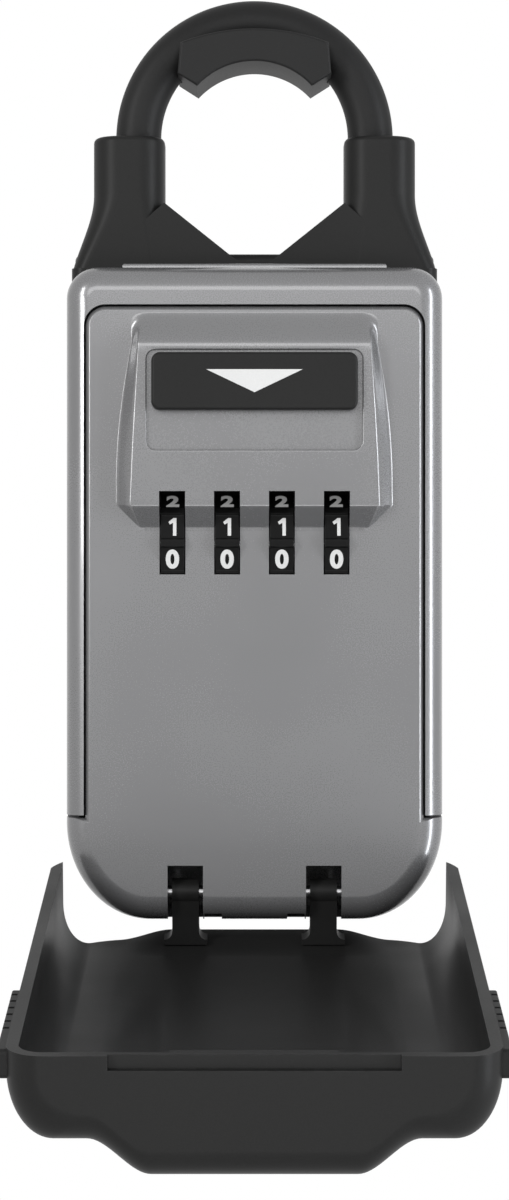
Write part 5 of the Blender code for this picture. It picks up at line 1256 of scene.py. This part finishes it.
def hinge_arms():
    half = ARM_WIDTH / 2
    wide = half + ARM_FILLET
    deep = ARM_LEVEL + ARM_SINK
    right = arc(wide, ARM_LEVEL - ARM_FILLET, ARM_FILLET, ARM_FILLET, 180, 90, ROUND + 2)
    outline = [(half, 0)] + right + [(wide, deep), (-wide, deep)]
    outline += [(-x, w) for x, w in reversed(right)] + [(-half, 0)]
    parts = []
    for side in (-1, 1):
        x = side * ARM_X
        section = [(x + px, HINGE_Y - w) for px, w in outline]
        parts.append(prism_z(section, HINGE_Z - ARM_HALF_HEIGHT, HINGE_Z + ARM_HALF_HEIGHT))
        parts.append(hinge_rod(KNUCKLE, x - half, x + half))
    return parts


def rim_edge(middle, edge):
    return on_plane(1, HINGE_Y - RIM)(middle, edge) and sharp(edge)


def build_tray():
    outer = cover_form(0, RIM, COVER_START, COVER_LENGTH, END_RADIUS)
    inner = cover_form(
        COVER_WALL, RIM - OVERRUN, COVER_START - OVERRUN, COVER_LENGTH - COVER_WALL, END_RADIUS - COVER_WALL
    )
    plan = prism_y(cover_plan(), HINGE_Y - PLAN_FRONT, HINGE_Y + PLAN_BACK)
    cover = keep(cut(outer, inner), plan)
    lip = box(
        cover_point(-LIP_HALF, LIP_START, RIM + LIP_HEIGHT),
        cover_point(LIP_HALF, LIP_END, RIM + WELD),
    )
    cover = join(cover, hinge_arms() + [lip])
    cuts = [box(
        cover_point(-NOTCH_HALF, NOTCH_START, RIM + NOTCH_HEIGHT),
        cover_point(NOTCH_HALF, PLAN_END, RIM - OVERRUN),
    )]
    for side in (-1, 1):
        x = side * ARM_X
        cuts.append(hinge_rod(PIN_RADIUS + PIN_CLEARANCE, x - ARM_WIDTH, x + ARM_WIDTH))
        cuts.append(prism_x(grip_outline(SEAT), side * POCKET_FLOOR, side * GRIP_PAST))
    cover = cut(cover, cuts)
    round_edges(cover, RIM_ROUNDING, 3, rim_edge)
    cover.data.transform(OPEN)
    dress(cover, "cover_tray", "cover", "black_plastic", "weather_cover")


def build_grip(side, name):
    face = side * GRIP_FACE
    pad = prism_x(grip_outline(0), side * GRIP_ROOT, face)
    round_edges(pad, GRIP_ROUNDING, 3, on_plane(0, face))
    grooves = []
    for i in range(1, RIDGES + 1):
        low = GRIP_START + RIDGE_PITCH * i - RIDGE_GROOVE
        grooves.append(box(
            cover_point(side * RIDGE_FLOOR, low, RIDGE_FRONT),
            cover_point(side * GRIP_PAST, low + RIDGE_GROOVE, RIDGE_BACK),
        ))
    pad = cut(pad, grooves)
    round_edges(pad, RIDGE_ROUNDING, 2, lambda middle, edge: abs(middle.x - face) < WELD and sharp(edge))
    pad.data.transform(OPEN)
    dress(pad, f"side_grip_{name}", "cover", "black_rubber", f"cover_grip_{name}")


def build_cover():
    build_tray()
    build_grip(-1, "left")
    build_grip(1, "right")


# Camera, lamps and surroundings

PHOTO_HEIGHT = 1200        # pixels
FOCAL_LENGTH = 3157        # pixels
SENSOR = 36                # millimetres
CAMERA_PLACE = (0, -0.7147, -0.1205)
NEAR_END = 0.01
WHITE = (1, 1, 1, 1)
WORLD_STRENGTH = 0.5
FLOOR_HALF = 3
FLOOR_TOP = -0.6
FLOOR_THICKNESS = 0.02
FLOOR_COLOUR = (0.8, 0.8, 0.8, 1)
FLOOR_ROUGHNESS = 0.7


def build_camera():
    data = bpy.data.cameras.new("camera")
    data.sensor_width = SENSOR
    data.lens = SENSOR * FOCAL_LENGTH / PHOTO_HEIGHT
    data.clip_start = NEAR_END
    obj = bpy.data.objects.new("camera", data)
    obj.location = CAMERA_PLACE
    obj.rotation_euler = (math.radians(90), 0, 0)
    SCENE.collection.objects.link(obj)
    SCENE.camera = obj


def add_lamp(name, place, target, size, power, colour=(1, 1, 1)):
    data = bpy.data.lights.new(name, "AREA")
    data.shape = "RECTANGLE"
    data.size, data.size_y = size
    data.energy = power
    data.color = colour
    obj = bpy.data.objects.new(name, data)
    obj.location = place
    obj.rotation_euler = (Vector(target) - Vector(place)).to_track_quat("-Z", "Y").to_euler()
    SCENE.collection.objects.link(obj)


def white_where_seen(tree, shader_output):
    """Mix plain white into what the camera, gloss and glass see of a background surface."""
    path = add_node(tree, "ShaderNodeLightPath")
    seen = maths(tree, "MAXIMUM", path.outputs["Is Camera Ray"], path.outputs["Is Transmission Ray"])
    seen = maths(tree, "MAXIMUM", seen, path.outputs["Is Glossy Ray"])
    kind = "ShaderNodeBackground" if shader_output.node.type == "BACKGROUND" else "ShaderNodeEmission"
    white = add_node(tree, kind)
    white.inputs["Color"].default_value = WHITE
    white.inputs["Strength"].default_value = 1
    mix = add_node(tree, "ShaderNodeMixShader")
    link(tree, seen, mix.inputs[0])
    link(tree, shader_output, mix.inputs[1])
    link(tree, white.outputs[0], mix.inputs[2])
    return mix.outputs[0]


def build_surroundings():
    world = bpy.data.worlds.new("studio")
    SCENE.world = world
    world.use_nodes = True
    tree = world.node_tree
    plain = tree.nodes["Background"]
    plain.inputs["Color"].default_value = WHITE
    plain.inputs["Strength"].default_value = WORLD_STRENGTH
    out = next(n for n in tree.nodes if n.type == "OUTPUT_WORLD")
    link(tree, white_where_seen(tree, plain.outputs[0]), out.inputs["Surface"])

    floor = box(
        (-FLOOR_HALF, -FLOOR_HALF, FLOOR_TOP - FLOOR_THICKNESS), (FLOOR_HALF, FLOOR_HALF, FLOOR_TOP)
    )
    floor.name = "floor"
    material = bpy.data.materials.new("pale_floor")
    material.use_nodes = True
    tree = material.node_tree
    shader = tree.nodes["Principled BSDF"]
    shader.inputs["Base Color"].default_value = FLOOR_COLOUR
    shader.inputs["Roughness"].default_value = FLOOR_ROUGHNESS
    out = next(n for n in tree.nodes if n.type == "OUTPUT_MATERIAL")
    link(tree, white_where_seen(tree, shader.outputs[0]), out.inputs["Surface"])
    floor.data.materials.append(material)


build_case()
build_door()
build_opener()
build_wheels()
build_shackle()
build_bumper()
build_cap()
build_cover()

SOFT_EDGE = 0.00012
SOFT_EDGE_DEG = 40

# The CAD pieces that stay get their slot's material and softened edges
for row in frame["record"]["subparts"]:
    piece = frame["nodes"][row["node"]]
    if piece.hide_render:
        continue
    piece.data.materials.clear()
    piece.data.materials.append(MATERIALS[row["material_slot"]])
    soft = piece.modifiers.new("soft_edges", "BEVEL")
    soft.width = SOFT_EDGE
    soft.segments = 2
    soft.limit_method = "ANGLE"
    soft.angle_limit = math.radians(SOFT_EDGE_DEG)
    soft.harden_normals = True

build_camera()
build_surroundings()
add_lamp("front_soft", (-0.05, -1.0, 0.22), (0, -0.02, -0.1), (0.7, 0.3), 2.4)
add_lamp("low_soft", (0.05, -0.95, -0.5), (0, -0.02, -0.12), (0.6, 0.3), 2.2)
add_lamp("left_strip", (-0.62, -0.62, 0.14), (0, -0.02, -0.08), (0.14, 0.5), 5.0)
add_lamp("right_strip", (0.75, -0.36, -0.12), (0, -0.02, -0.12), (0.16, 0.9), 7.0, (0.93, 0.96, 1.0))
SCENE.view_settings.view_transform = "Standard"
